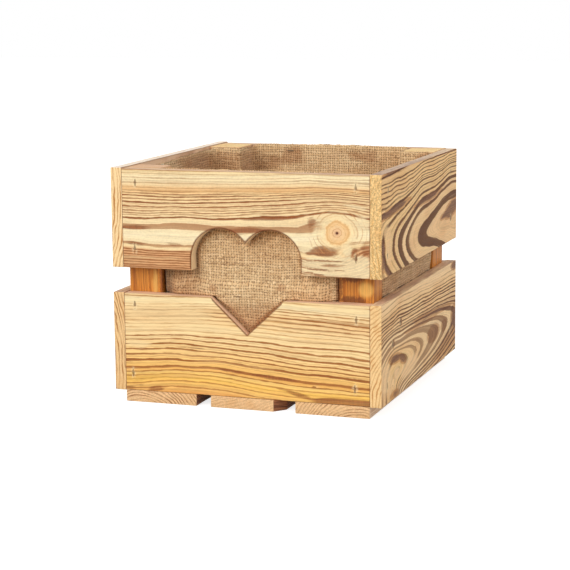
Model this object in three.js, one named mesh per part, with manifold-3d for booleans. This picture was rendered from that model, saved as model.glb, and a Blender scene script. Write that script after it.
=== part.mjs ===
// Two-tier slatted pine crate with a heart cut in its front and a jute liner inside.
// Millimetres, +Z up, the front towards -Y, the origin on the floor under the middle.
import * as THREE from "three";
import { mergeVertices } from "three/addons/utils/BufferGeometryUtils.js";
import Module from "manifold-3d";

// Overall size over the boards
const width = 240;
const depth = 250;

// Side boards, which run the full depth and show their end grain at the front
const sideBoardThickness = 10;
const sideBoardHeight = 86;
const tierGap = 21.4;

// Front and back boards, which fit between the side boards and are a little narrower
const frontBoardThickness = 12.5;
const frontBoardNarrower = 1.2;
const rimStep = 1;
const endJoint = 0.3;

// Base slats, which run from front to back under the posts
const slatWidth = 65.5;
const slatThickness = 10.2;
const sideBoardLap = 0.6;
const middleSlatShift = 1;
const cutCornerWidth = 8.5;
const cutCornerDepth = 10;

// Corner posts
const postWidth = 30.5;
const frontPostDepth = 24;
const backPostDepth = 35;
const postStep = 0.8;
const frontRightPostShorter = 5;
const postEase = 1.5;

// Heart, whose lobes are cut in the upper front board and its point in the lower one
const heartX = 1.5;
const heartPointShift = 0.8;
const lobeRadius = 26.5;
const lobeOffset = 22.3;
const lobeRise = 10.3;
const heartPointDepth = 30.2;
const heartPointAngle = 47;

// Small arris on every sawn edge
const ease = 0.6;

// Jute liner
const clothThickness = 1.6;
const clothClearance = 0.3;
const linerBend = 5;
const linerTopStep = 1;
const linerDip = 6;
const linerBendSteps = 5;
const linerSideSteps = 8;

// Staples of round-backed flat wire
const stapleCrown = 5.8;
const stapleWire = 1;
const stapleBand = 1.25;
const stapleLength = 20;
const linerStapleLength = 8;
const strayStapleLength = 9;
const stapleSink = 0.2;
const stapleClearance = 0.25;
const pocketOverrun = 1;

// Staple places on a board: which end, distance in from the post's outer face, which edge
// and the distance from that edge
const frontUpperStaples = [
  [-1, 12.6, "top", 11.4],
  [-1, 11, "bottom", 16.8],
  [1, 11.9, "top", 10.4],
  [1, 11.8, "bottom", 16.4],
];
const frontLowerStaples = [
  [-1, 9.8, "top", 9.6],
  [-1, 7, "bottom", 15],
  [1, 11.7, "top", 12.1],
  [1, 12.9, "bottom", 14.1],
];
const backStaples = [
  [-1, 13, "top", 12],
  [-1, 13, "bottom", 16],
  [1, 13, "top", 12],
  [1, 13, "bottom", 16],
];
const rightUpperStaples = [
  [-1, 6.4, "top", 14.2],
  [-1, 4.2, "bottom", 18],
  [1, 9.5, "top", 21.1],
  [1, 8.6, "bottom", 21.5],
];
const rightLowerStaples = [
  [-1, 19.5, "bottom", 47.4],
  [-1, 5.4, "bottom", 15.2],
  [1, 10, "top", 24],
  [1, 10, "bottom", 24],
];
const leftStaples = [
  [-1, 10, "top", 24],
  [-1, 10, "bottom", 24],
  [1, 10, "top", 24],
  [1, 10, "bottom", 24],
];
const strayStapleIn = 44;
const strayStapleUp = 62.7;

// Staple places on the slats and the liner
const slatStapleInPost = 12.5;
const linerStapleDrop = 5;
const linerStapleShift = 40;

const frontBoardHeight = sideBoardHeight - frontBoardNarrower;
const innerX = width / 2 - sideBoardThickness;
const innerY = depth / 2 - frontBoardThickness;
const sideLowZ = slatThickness - sideBoardLap;
const sideHighZ = sideLowZ + sideBoardHeight + tierGap;
const rimZ = sideHighZ + sideBoardHeight;
const frontLowZ = slatThickness;
const frontHighZ = rimZ - rimStep - frontBoardHeight;
const postTopZ = rimZ - postStep;
const frontBoardLength = 2 * (innerX - endJoint);

const wasm = await Module();
wasm.setup();

const crate = new THREE.Group();
crate.name = "crate";

function sawnPine(color, roughness) {
  return new THREE.MeshStandardMaterial({ color, roughness, metalness: 0 });
}

function addPiece(name, geometry, position, material) {
  const mesh = new THREE.Mesh(geometry, material);
  mesh.name = name;
  mesh.position.copy(position);
  mesh.updateMatrixWorld();
  crate.add(mesh);
  return mesh;
}

function toSolid(geometry) {
  const bare = geometry.clone();
  bare.deleteAttribute("normal");
  bare.deleteAttribute("uv");
  const merged = mergeVertices(bare, 1e-4);
  const vertProperties = new Float32Array(merged.attributes.position.array);
  const triVerts = new Uint32Array(merged.index.array);
  return new wasm.Manifold(new wasm.Mesh({ numProp: 3, vertProperties, triVerts }));
}

function toGeometry(solid) {
  const { vertProperties, triVerts } = solid.getMesh();
  const geometry = new THREE.BufferGeometry();
  geometry.setAttribute("position", new THREE.BufferAttribute(vertProperties, 3));
  geometry.setIndex(new THREE.BufferAttribute(triVerts, 1));
  geometry.computeVertexNormals();
  return geometry;
}

function corners(points) {
  return points.map(([x, y]) => new THREE.Vector2(x, y));
}

// Outlines

function rectangle(length, height) {
  return new THREE.Shape(corners([
    [-length / 2, 0],
    [length / 2, 0],
    [length / 2, height],
    [-length / 2, height],
  ]));
}

function boardWithLobes() {
  const half = frontBoardLength / 2;
  const reach = lobeOffset + lobeRadius;
  const notch = Math.acos(lobeOffset / lobeRadius);
  const shape = new THREE.Shape();
  shape.moveTo(-half, 0);
  shape.lineTo(heartX - reach, 0);
  shape.absarc(heartX - lobeOffset, lobeRise, lobeRadius, Math.PI, notch, true);
  shape.absarc(heartX + lobeOffset, lobeRise, lobeRadius, Math.PI - notch, 0, true);
  shape.lineTo(heartX + reach, 0);
  shape.lineTo(half, 0);
  shape.lineTo(half, frontBoardHeight);
  shape.lineTo(-half, frontBoardHeight);
  shape.closePath();
  return shape;
}

function boardWithPoint() {
  const half = frontBoardLength / 2;
  const middle = heartX + heartPointShift;
  const reach = heartPointDepth * Math.tan(THREE.MathUtils.degToRad(heartPointAngle));
  return new THREE.Shape(corners([
    [-half, 0],
    [half, 0],
    [half, frontBoardHeight],
    [middle + reach, frontBoardHeight],
    [middle, frontBoardHeight - heartPointDepth],
    [middle - reach, frontBoardHeight],
    [-half, frontBoardHeight],
  ]));
}

function chamferedRectangle(length, breadth, chamfer) {
  const x = length / 2;
  const y = breadth / 2;
  return new THREE.Shape(corners([
    [-x + chamfer, -y],
    [x - chamfer, -y],
    [x, -y + chamfer],
    [x, y - chamfer],
    [x - chamfer, y],
    [-x + chamfer, y],
    [-x, y - chamfer],
    [-x, -y + chamfer],
  ]));
}

function slatOutline(cutCorner) {
  const x = slatWidth / 2;
  const y = depth / 2;
  const front = cutCorner ? [[x - cutCornerWidth, -y], [x, -y + cutCornerDepth]] : [[x, -y]];
  return new THREE.Shape(corners([[-x, -y], ...front, [x, y], [-x, y]]));
}

// Extrudes an outline with a small arris round both faces
function easedPlate(shape, thickness) {
  const geometry = new THREE.ExtrudeGeometry(shape, {
    depth: thickness - 2 * ease,
    bevelThickness: ease,
    bevelSize: ease,
    bevelOffset: -ease,
    bevelSegments: 1,
    curveSegments: 14,
  });
  return geometry.translate(0, 0, ease);
}

// Turns a plate drawn in X and Y so that it stands facing the front or a side
function facingFront(geometry) {
  const turn = new THREE.Matrix4().makeBasis(
    new THREE.Vector3(1, 0, 0),
    new THREE.Vector3(0, 0, 1),
    new THREE.Vector3(0, -1, 0),
  );
  return geometry.applyMatrix4(turn);
}

function facingSide(geometry) {
  const turn = new THREE.Matrix4().makeBasis(
    new THREE.Vector3(0, 1, 0),
    new THREE.Vector3(0, 0, 1),
    new THREE.Vector3(1, 0, 0),
  );
  return geometry.applyMatrix4(turn);
}

// Boards, posts and slats

function addFrontAndBackBoards() {
  const front = (shape) => facingFront(easedPlate(shape, frontBoardThickness));
  const plain = () => rectangle(frontBoardLength, frontBoardHeight);
  const at = (y, z) => new THREE.Vector3(0, y, z);
  return [
    addPiece("board_front_upper", front(boardWithLobes()), at(-innerY, frontHighZ), sawnPine(0xe6bd83, 0.62)),
    addPiece("board_front_lower", front(boardWithPoint()), at(-innerY, frontLowZ), sawnPine(0xe2b473, 0.62)),
    addPiece("board_back_upper", front(plain()), at(depth / 2, frontHighZ), sawnPine(0xdcb27a, 0.64)),
    addPiece("board_back_lower", front(plain()), at(depth / 2, frontLowZ), sawnPine(0xdcb27a, 0.64)),
  ];
}

function addSideBoards() {
  const board = () => facingSide(easedPlate(rectangle(depth, sideBoardHeight), sideBoardThickness));
  return [
    addPiece("board_left_upper", board(), new THREE.Vector3(-width / 2, 0, sideHighZ), sawnPine(0xc79d6d, 0.66)),
    addPiece("board_left_lower", board(), new THREE.Vector3(-width / 2, 0, sideLowZ), sawnPine(0xc79d6d, 0.66)),
    addPiece("board_right_upper", board(), new THREE.Vector3(innerX, 0, sideHighZ), sawnPine(0xb58f68, 0.66)),
    addPiece("board_right_lower", board(), new THREE.Vector3(innerX, 0, sideLowZ), sawnPine(0xb58f68, 0.66)),
  ];
}

function addPosts() {
  const posts = [];
  for (const [end, sideY, postDepth] of [["front", -1, frontPostDepth], ["back", 1, backPostDepth]]) {
    for (const [side, sideX] of [["left", -1], ["right", 1]]) {
      const outline = chamferedRectangle(postWidth, postDepth, postEase);
      const place = new THREE.Vector3(
        sideX * (innerX - postWidth / 2),
        sideY * (innerY - postDepth / 2),
        slatThickness,
      );
      const name = `post_${end}_${side}`;
      const shorter = name === "post_front_right" ? frontRightPostShorter : 0;
      const geometry = easedPlate(outline, postTopZ - shorter - slatThickness);
      posts.push(addPiece(name, geometry, place, sawnPine(0xc07c35, 0.6)));
    }
  }
  return posts;
}

const slatCentres = {
  left: -(innerX - slatWidth / 2),
  middle: middleSlatShift,
  right: innerX - slatWidth / 2,
};

function addSlats() {
  return Object.entries(slatCentres).map(([name, x]) => {
    const geometry = easedPlate(slatOutline(name === "middle"), slatThickness);
    return addPiece(`slat_${name}`, geometry, new THREE.Vector3(x, 0, 0), sawnPine(0xd9b894, 0.7));
  });
}

// Liner

function arc(centreX, centreY, radius, fromDegrees, toDegrees, dipFrom, dipTo) {
  const points = [];
  for (let i = 0; i <= linerBendSteps; i += 1) {
    const share = i / linerBendSteps;
    const angle = THREE.MathUtils.degToRad(fromDegrees + (toDegrees - fromDegrees) * share);
    points.push({
      x: centreX + radius * Math.cos(angle),
      y: centreY + radius * Math.sin(angle),
      dip: dipFrom + (dipTo - dipFrom) * share,
    });
  }
  return points;
}

// The way round one post, from the front or back wall to the side wall, where x and y are positive
function roundPost(postDepth, inset) {
  const faceX = innerX - postWidth;
  const faceY = innerY - postDepth;
  const bend = linerBend - inset;
  return [
    ...arc(faceX - linerBend, innerY - linerBend, bend, 90, 0, 0, 1),
    ...arc(faceX + postEase, faceY + postEase, postEase + inset, 180, 270, 1, 1),
    ...arc(innerX - linerBend, faceY - linerBend, bend, 90, 0, 1, 0),
  ];
}

// The whole loop, counterclockwise from above, this far inside the boards and posts
function linerLoop(inset) {
  const front = roundPost(frontPostDepth, inset);
  const back = roundPost(backPostDepth, inset);
  const flip = (points, signX, signY) => points.map(({ x, y, dip }) => ({ x: signX * x, y: signY * y, dip }));
  const stretches = [
    flip(front, 1, -1),
    flip(back, 1, 1).reverse(),
    flip(back, -1, 1),
    flip(front, -1, -1).reverse(),
  ];
  const loop = [];
  stretches.forEach((stretch, index) => {
    loop.push(...stretch);
    const a = stretch[stretch.length - 1];
    const b = stretches[(index + 1) % stretches.length][0];
    for (let i = 1; i < linerSideSteps; i += 1) {
      const share = i / linerSideSteps;
      loop.push({ x: a.x + (b.x - a.x) * share, y: a.y + (b.y - a.y) * share, dip: 0 });
    }
  });
  return loop;
}

function linerWallGeometry(bottom, top) {
  const outer = linerLoop(clothClearance);
  const inner = linerLoop(clothClearance + clothThickness);
  const count = outer.length;
  const positions = [];
  for (const loop of [outer, inner]) {
    for (const { x, y } of loop) positions.push(x, y, bottom);
    for (const { x, y, dip } of loop) positions.push(x, y, top - linerDip * dip);
  }
  const [outerLow, outerHigh, innerLow, innerHigh] = [0, count, 2 * count, 3 * count];
  const index = [];
  for (let i = 0; i < count; i += 1) {
    const j = (i + 1) % count;
    const quads = [
      [outerLow + i, outerLow + j, outerHigh + j, outerHigh + i],
      [innerLow + j, innerLow + i, innerHigh + i, innerHigh + j],
      [outerHigh + i, outerHigh + j, innerHigh + j, innerHigh + i],
      [outerLow + j, outerLow + i, innerLow + i, innerLow + j],
    ];
    for (const [a, b, c, d] of quads) index.push(a, b, c, a, c, d);
  }
  const geometry = new THREE.BufferGeometry();
  geometry.setAttribute("position", new THREE.Float32BufferAttribute(positions, 3));
  geometry.setIndex(index);
  geometry.computeVertexNormals();
  return geometry;
}

function addLiner() {
  const jute = () => new THREE.MeshStandardMaterial({ color: 0xa98a60, roughness: 0.95, metalness: 0 });
  const low = slatThickness + clothClearance;
  const wall = addPiece(
    "liner_wall",
    linerWallGeometry(0, rimZ - linerTopStep - low),
    new THREE.Vector3(0, 0, low),
    jute(),
  );
  const edge = linerLoop(2 * clothClearance + clothThickness).map(({ x, y }) => new THREE.Vector2(x, y));
  const sheet = new THREE.ExtrudeGeometry(new THREE.Shape(edge), {
    depth: clothThickness,
    bevelEnabled: false,
  });
  addPiece("liner_base", sheet, new THREE.Vector3(0, 0, low), jute());
  return [wall];
}

// Staples

// A staple drawn with its crown along X and its legs down -Y, or the pocket that it is driven into
function stapleGeometry(length, grow, top) {
  const outer = stapleCrown / 2 + grow;
  const inner = stapleCrown / 2 - stapleWire - grow;
  const underCrown = -stapleSink - stapleWire - grow;
  const tip = -length - grow;
  const shape = new THREE.Shape(corners([
    [-outer, top],
    [-outer, tip],
    [-inner, tip],
    [-inner, underCrown],
    [inner, underCrown],
    [inner, tip],
    [outer, tip],
    [outer, top],
  ]));
  const band = stapleBand + 2 * grow;
  return new THREE.ExtrudeGeometry(shape, { depth: band, bevelEnabled: false }).translate(0, 0, -band / 2);
}

const pockets = [];

// Adds one staple, whose crown runs along one axis and faces out along another, and keeps its pocket
function addStaple(name, { at, crown, out, length = stapleLength }) {
  const crownAxis = new THREE.Vector3(...crown);
  const outAxis = new THREE.Vector3(...out);
  const bandAxis = new THREE.Vector3().crossVectors(crownAxis, outAxis);
  const turn = new THREE.Matrix4().makeBasis(crownAxis, outAxis, bandAxis);
  const place = new THREE.Vector3(...at);
  const pocket = stapleGeometry(length, stapleClearance, pocketOverrun).applyMatrix4(turn);
  pockets.push(pocket.translate(...at));
  const steel = new THREE.MeshStandardMaterial({ color: 0xb9ad98, roughness: 0.4, metalness: 0.9 });
  addPiece(name, stapleGeometry(length, 0, -stapleSink).applyMatrix4(turn), place, steel);
}

function addBoardStaples(name, places, lowZ, height, face) {
  places.forEach(([end, inset, edge, distance], index) => {
    const z = edge === "top" ? lowZ + height - distance : lowZ + distance;
    const u = end * (face.postEnd - inset);
    const x = face.along[0] * u + face.out[0] * face.reach;
    const y = face.along[1] * u + face.out[1] * face.reach;
    addStaple(`staple_${name}_${index + 1}`, { at: [x, y, z], crown: [0, 0, 1], out: face.out });
  });
}

function addAllBoardStaples() {
  const acrossDepth = { postEnd: innerY, along: [0, 1, 0], reach: width / 2 };
  const acrossWidth = { postEnd: innerX, along: [1, 0, 0], reach: depth / 2 };
  const front = { ...acrossWidth, out: [0, -1, 0] };
  const back = { ...acrossWidth, out: [0, 1, 0] };
  const right = { ...acrossDepth, out: [1, 0, 0] };
  const left = { ...acrossDepth, out: [-1, 0, 0] };
  addBoardStaples("front_upper", frontUpperStaples, frontHighZ, frontBoardHeight, front);
  addBoardStaples("front_lower", frontLowerStaples, frontLowZ, frontBoardHeight, front);
  addBoardStaples("back_upper", backStaples, frontHighZ, frontBoardHeight, back);
  addBoardStaples("back_lower", backStaples, frontLowZ, frontBoardHeight, back);
  addBoardStaples("right_upper", rightUpperStaples, sideHighZ, sideBoardHeight, right);
  addBoardStaples("right_lower", rightLowerStaples, sideLowZ, sideBoardHeight, right);
  addBoardStaples("left_upper", leftStaples, sideHighZ, sideBoardHeight, left);
  addBoardStaples("left_lower", leftStaples, sideLowZ, sideBoardHeight, left);
  addStaple("staple_right_lower_stray", {
    at: [width / 2, -innerY + strayStapleIn, sideLowZ + strayStapleUp],
    crown: [0, 0, 1],
    out: right.out,
    length: strayStapleLength,
  });
}

// Driven up through the slats, the outer ones into the posts and the middle one into the boards' edges
function addSlatStaples() {
  for (const [end, sideY] of [["front", -1], ["back", 1]]) {
    const postY = sideY * (innerY - slatStapleInPost);
    const boardY = sideY * (depth / 2 - frontBoardThickness / 2);
    const postX = innerX - postWidth / 2;
    const places = { left: [-postX, postY, 0], middle: [middleSlatShift, boardY, 0], right: [postX, postY, 0] };
    for (const [slat, at] of Object.entries(places)) {
      addStaple(`staple_slat_${slat}_${end}`, { at, crown: [1, 0, 0], out: [0, 0, -1] });
    }
  }
}

// Driven outwards through the cloth near its top edge into the upper boards
function addLinerStaples() {
  const z = rimZ - linerTopStep - linerStapleDrop;
  const inset = clothClearance + clothThickness;
  const add = (wall, at, crown, out) => {
    addStaple(`staple_liner_${wall}`, { at, crown, out, length: linerStapleLength });
  };
  add("front", [linerStapleShift, inset - innerY, z], [1, 0, 0], [0, 1, 0]);
  add("back", [-linerStapleShift, innerY - inset, z], [1, 0, 0], [0, -1, 0]);
  add("left", [inset - innerX, -linerStapleShift, z], [0, 1, 0], [1, 0, 0]);
  add("right", [innerX - inset, linerStapleShift, z], [0, 1, 0], [-1, 0, 0]);
}

// Cuts every staple's pocket out of a piece
function cutPockets(mesh, cutter) {
  const world = mesh.geometry.applyMatrix4(mesh.matrixWorld);
  const cut = toGeometry(toSolid(world).subtract(cutter));
  mesh.geometry = cut.applyMatrix4(mesh.matrixWorld.clone().invert());
}

const driven = [
  ...addFrontAndBackBoards(),
  ...addSideBoards(),
  ...addPosts(),
  ...addSlats(),
  ...addLiner(),
];
addAllBoardStaples();
addSlatStaples();
addLinerStaples();

const allPockets = pockets.map(toSolid).reduce((joined, pocket) => joined.add(pocket));
for (const mesh of driven) cutPockets(mesh, allPockets);

export default crate;
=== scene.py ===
# Looks of the slatted pine crate with a heart in its front and a jute liner.
# Metres in the scene, millimetres in the outlines, the grain and the cloth below.
import math
import random

import bmesh
import bpy
import numpy as np
from mathutils import Matrix, Vector, noise
from mathutils.geometry import delaunay_2d_cdt


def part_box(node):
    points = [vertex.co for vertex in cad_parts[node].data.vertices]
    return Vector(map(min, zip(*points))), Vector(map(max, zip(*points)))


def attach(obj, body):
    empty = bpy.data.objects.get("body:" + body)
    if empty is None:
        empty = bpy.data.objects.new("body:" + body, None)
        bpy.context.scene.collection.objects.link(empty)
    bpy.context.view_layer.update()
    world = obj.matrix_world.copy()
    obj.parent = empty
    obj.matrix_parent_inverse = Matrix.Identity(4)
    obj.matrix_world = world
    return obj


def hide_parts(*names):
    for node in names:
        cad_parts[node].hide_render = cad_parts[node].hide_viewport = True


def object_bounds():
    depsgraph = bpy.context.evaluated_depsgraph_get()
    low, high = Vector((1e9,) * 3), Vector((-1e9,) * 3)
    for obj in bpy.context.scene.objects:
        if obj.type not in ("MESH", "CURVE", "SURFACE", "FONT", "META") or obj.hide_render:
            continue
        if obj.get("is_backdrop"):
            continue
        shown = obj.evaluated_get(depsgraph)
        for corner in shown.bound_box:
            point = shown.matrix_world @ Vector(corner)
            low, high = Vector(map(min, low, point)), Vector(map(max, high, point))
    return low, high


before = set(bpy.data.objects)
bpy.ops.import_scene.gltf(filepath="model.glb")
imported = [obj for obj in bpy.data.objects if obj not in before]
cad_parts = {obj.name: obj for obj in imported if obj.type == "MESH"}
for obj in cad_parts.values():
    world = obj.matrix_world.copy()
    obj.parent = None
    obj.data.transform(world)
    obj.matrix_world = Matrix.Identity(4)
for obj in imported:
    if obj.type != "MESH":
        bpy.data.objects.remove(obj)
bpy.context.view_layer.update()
MM, TURN = 0.001, 6.2832
STIFFNESS, AT_ONCE = 0.4, 4000


# Colours and node helpers

def srgb(r, g, b):
    """A colour written in 0 to 255, as the linear values that Blender takes."""
    def linear(c):
        c = c / 255
        return c / 12.92 if c <= 0.04045 else ((c + 0.055) / 1.055) ** 2.4
    return (linear(r), linear(g), linear(b), 1.0)


class Value:
    """A number or colour inside a material, which plain arithmetic turns into nodes."""

    def __init__(self, shade, socket):
        self.shade = shade
        self.socket = socket

    def __add__(self, other):
        return self.shade.math("ADD", self, other)

    def __sub__(self, other):
        return self.shade.math("SUBTRACT", self, other)

    def __rsub__(self, other):
        return self.shade.math("SUBTRACT", other, self)

    def __mul__(self, other):
        return self.shade.math("MULTIPLY", self, other)

    def __truediv__(self, other):
        return self.shade.math("DIVIDE", self, other)

    __radd__ = __add__
    __rmul__ = __mul__


class Shade:
    """The nodes of one material, or of the world, and the few kinds that they are built from."""

    def __init__(self, name, kind="materials"):
        self.owner = getattr(bpy.data, kind).new(name)
        self.owner.use_nodes = True
        self.tree = self.owner.node_tree
        self.tree.nodes.clear()

    def feed(self, socket, value):
        """Gives a socket another node's value, a number, or a colour, whose three numbers are 0 to 255."""
        if isinstance(value, Value):
            self.tree.links.new(value.socket, socket)
        elif isinstance(value, tuple) and len(value) == 3:
            socket.default_value = srgb(*value)
        else:
            socket.default_value = value

    def node(self, kind, *inputs, output=0, named=None, **settings):
        """A new node with its settings, its first inputs and others by name, as the value it gives."""
        node = self.tree.nodes.new("ShaderNode" + kind)
        for key, value in settings.items():
            setattr(node, key, value)
        for socket, value in zip(node.inputs, inputs):
            self.feed(socket, value)
        for key, value in (named or {}).items():
            self.feed(node.inputs[key], value)
        return Value(self, node.outputs[output]) if node.outputs else None

    def math(self, operation, *values):
        return self.node("Math", *values, operation=operation)

    def split(self, vector):
        """The three numbers of a vector."""
        return [Value(self, output) for output in self.node("SeparateXYZ", vector).socket.node.outputs]

    def attribute(self, name):
        return self.split(self.node("Attribute", output="Vector", attribute_name=name))

    def uv(self):
        return self.split(self.node("UVMap", uv_map="weave"))[:2]

    def noise(self, x, y, z, detail=2.0, roughness=0.5):
        place = self.node("CombineXYZ", x, y, z)
        return self.node("TexNoise", named={
            "Vector": place, "Scale": 1.0, "Detail": detail, "Roughness": roughness})

    def step(self, value, low, high, start=0.0, end=1.0):
        """Goes smoothly from start to end as value goes from low to high."""
        return self.node("MapRange", value, low, high, start, end, interpolation_type="SMOOTHSTEP")

    def ramp(self, value, stops):
        ramp = self.node("ValToRGB", value)
        elements = ramp.socket.node.color_ramp.elements
        for index in (0, -1):
            position, colour = stops[index]
            elements[index].position, elements[index].color = position, srgb(*colour)
        for position, colour in stops[1:-1]:
            elements.new(position).color = srgb(*colour)
        return ramp

    def mix(self, share, first, second, blend="MIX"):
        return self.node("Mix", output=2, named={0: share, 6: first, 7: second},
                         data_type="RGBA", blend_type=blend)

    def scaled(self, colour, amount):
        return self.node("VectorMath", colour, named={"Scale": amount}, operation="SCALE")

    def bands(self, level, stops):
        """Colours by ring level, in as many ramps as the stops need."""
        most = 30
        stops = sorted(stops)
        colour = None
        for start in range(0, len(stops) - 1, most):
            part = stops[start:start + most + 1]
            low, high = part[0][0], part[-1][0]
            ramp = self.ramp((level - low) / (high - low), [((at - low) / (high - low), c) for at, c in part])
            colour = self.mix(self.math("GREATER_THAN", level, low), colour, ramp) if colour else ramp
        return colour

    def in_view(self):
        """1 where a camera, glossy or transmission ray arrives, so that all of them meet white."""
        camera, glossy, clear = (self.node("LightPath", output=f"Is {ray} Ray")
                                 for ray in ("Camera", "Glossy", "Transmission"))
        return self.math("MAXIMUM", self.math("MAXIMUM", camera, glossy), clear)

    def finish(self, colour, roughness, height, relief, shine=0.5, **fixed):
        """Ends the material: relief is the depth of the bump in metres, shine the specular level."""
        bump = self.node("Bump", named={"Distance": relief, "Height": height})
        fixed = {key.replace("_", " "): value for key, value in fixed.items()}
        surface = self.node("BsdfPrincipled", named={
            "Base Color": colour, "Roughness": roughness, "Normal": bump, "Specular IOR Level": shine, **fixed})
        self.node("OutputMaterial", surface)
        return self.owner


# The woods of the four faces that the photograph shows, in millimetres on the board
# guides: a ring level, then places along and up that its line runs through; along: how far they count along
# wood: slow tones by ring level; rings: level, width and strength of the dark late wood
# marks: soft ovals, each a middle, two half widths, a turn in degrees and a strength
# spread: how much the rings wander; light and cream: colours of the lively and the pale places
# knots: a middle, a radius and how much wider than high

FRONT_UPPER = {
    "along": 0.4, "spread": 1.0, "light": (253, 224, 170), "cream": (254, 236, 190),
    "knots": [(82, 154.2, 17.5, 1.06)],
    "guides": [
        (202.5, -110, 202, -40, 202.2, 20, 202.6, 60, 203.4, 110, 203.6),
        (195, -110, 194.8, -50, 195, 0, 196.5, 30, 198.4, 60, 200.4, 110, 200.2),
        (190, -110, 190, -50, 190.6, 0, 191.2, 40, 192, 75, 192.8, 110, 191.4),
        (182.5, -110, 183.5, -60, 182.4, -20, 184, 10, 185, 40, 186.3, 75, 188, 110, 186.4),
        (179.2, -100, 180, -60, 179.2, -20, 181, 0, 182.2, 40, 184.6, 75, 185.9, 110, 184),
        (174, -105, 174.2, -60, 174, -20, 175.8, 0, 177, 20, 178.4, 40, 180.2, 60, 182, 80, 182.7, 110, 181),
        (170.5, -110, 170.8, -60, 171, -20, 172, 0, 173.3, 20, 175.3, 40, 176.6, 55, 178.4, 80, 180.2,
         110, 178.4),
        (167, -110, 166.9, -60, 168, -15, 168.4, 10, 170.4, 35, 172, 60, 174.5, 82, 176.5, 110, 174),
        (161, -110, 160.4, -85, 160, -55, 161.2, -30, 161, -10, 162, 0, 162.8, 20, 164.8, 40, 165.4, 50, 166.8,
         60, 168.4, 70, 170, 84, 170.8, 98, 168.4, 110, 165),
        (157, -110, 156.2, -90, 155.4, -70, 157, -60, 158.8, -45, 158.6, -30, 157.4, -10, 157, 20, 157.5,
         40, 157.4, 52, 159, 60, 163, 68, 167.4),
        (150.5, -110, 150.4, -95, 150, -70, 151, -50, 150, -10, 150.4, 10, 150.8, 35, 152, 50, 151.6,
         60, 151.6),
        (140, -110, 141, -100, 140.6, -92, 138.6, -80, 137.6, -60, 138, -50, 139.2, -30, 140, 30, 142, 50, 142,
         60, 143),
        (134.6, -110, 135.2, -90, 135, -60, 134.7, -48, 134.4, 0, 134, 50, 132.6, 58, 130.6, 70, 130, 80, 130.4,
         90, 133, 95.5, 138, 95, 143),
        (127, -110, 127.4, -48, 127.2, 0, 127, 50, 127, 60, 124.6, 72, 124.2, 82, 124.8, 95, 128, 104, 136),
        (120, -110, 120, -48, 120.4, 0, 121, 50, 122, 65, 119, 80, 119.4, 95, 121, 110, 127),
    ],
    "wood": [(114, (222, 168, 116)), (134, (230, 178, 126)), (135.4, (252, 222, 168)), (141, (253, 230, 182)),
        (146, (253, 236, 196)), (150.4, (253, 232, 186)), (158, (252, 226, 176)), (163, (253, 224, 172)),
        (174, (253, 222, 168)), (181, (252, 218, 160)), (184, (238, 190, 130)), (187, (244, 204, 148)),
        (191, (253, 230, 182)), (197, (254, 234, 188)), (202.6, (248, 218, 160))],
    "dark": (150, 90, 50),
    "rings": [(116.6, 1.4, 0.7), (118.6, 0.8, 0.8), (120.4, 0.8, 0.8), (122.6, 0.9, 0.8), (124.8, 0.9, 0.85),
        (127, 0.8, 0.7), (129, 0.9, 0.8), (131, 0.9, 0.8), (133.2, 1.0, 0.9), (138.6, 2.2, 0.55),
        (154, 4.4, 0.6), (161.4, 1.2, 1.0), (163.9, 0.6, 0.6), (165.6, 0.6, 0.7), (167.5, 0.6, 0.7),
        (169.2, 0.4, 0.4), (170.5, 0.9, 0.85), (172.2, 0.3, 0.3), (173.9, 1.1, 1.0), (176.7, 0.8, 0.8),
        (179.3, 0.9, 0.95), (181.4, 0.6, 0.6), (183.4, 0.5, 0.4), (186.6, 0.5, 0.4), (190.6, 0.5, 0.35),
        (195.2, 0.4, 0.35), (198.8, 0.5, 0.4), (202.2, 0.8, 0.6)],
    "marks": {
        "dark": [(71, 138.4, 10.5, 4.0, 0, 1.1), (60, 136.6, 6, 1.6, 8, 0.9), (97, 138, 3.0, 5.6, 0, 0.66),
            (107, 141.6, 5, 6.4, 20, 0.58), (60, 162.6, 4, 4.4, -40, 0.62), (64, 123.6, 14, 0.9, -5, 0.95),
            (70, 130.4, 18, 0.8, 1, 0.9), (78, 127.2, 11, 1.3, 2, 0.64), (62, 119.6, 10, 0.8, -8, 0.9),
            (84, 123.4, 13, 0.7, 5, 0.7), (59.5, 156.5, 2.4, 5, 0, 0.5), (2, 153, 24, 2.6, 2, 0.85),
            (-100, 152.4, 16, 1.8, 0, 0.75), (-62, 139, 9, 1.8, -6, 0.6), (26, 164.4, 26, 1.6, 4, 0.9),
            (-98, 138.4, 10, 2.2, -6, 0.5), (84, 116.8, 28, 1.2, 0, 0.9), (24, 174.8, 20, 0.9, 4, 0.6),
            (-62, 154.5, 14, 2, 0, 0.3), (97.6, 134.6, 1.6, 3.4, 20, 0.7)],
        "pale": [(57, 140.6, 9, 4, 0, 0.9), (80, 131.8, 22, 2.4, 4, 0.95), (91, 140, 3.6, 6, 0, 0.95),
            (65, 152, 4.5, 8, 0, 0.8), (102, 158, 8, 11, 0, 0.9), (102, 130, 9, 5, 14, 1.0),
            (104, 121, 10, 4, 20, 1.0), (80, 125, 34, 9, 0, 1.0), (86, 157, 22, 12, 0, 0.85),
            (78, 119.6, 22, 1.2, 4, 0.8), (98, 176, 12, 3, -10, 0.6), (-72, 143.5, 30, 3.6, 0, 0.5),
            (-60, 158.6, 40, 1.4, 1, 0.6), (66, 144, 5, 5, 0, 0.6), (-70, 198, 40, 3, 0, 0.4)],
        "fine": [(76, 193, 44, 9, 0, 1.1), (40, 190, 40, 7, 0, 0.5), (-75, 126, 40, 8, 0, 0.4),
            (-40, 184.5, 46, 4.5, 0, 0.6), (-50, 194, 60, 6, 0, 0.4)],
    },
}
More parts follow.
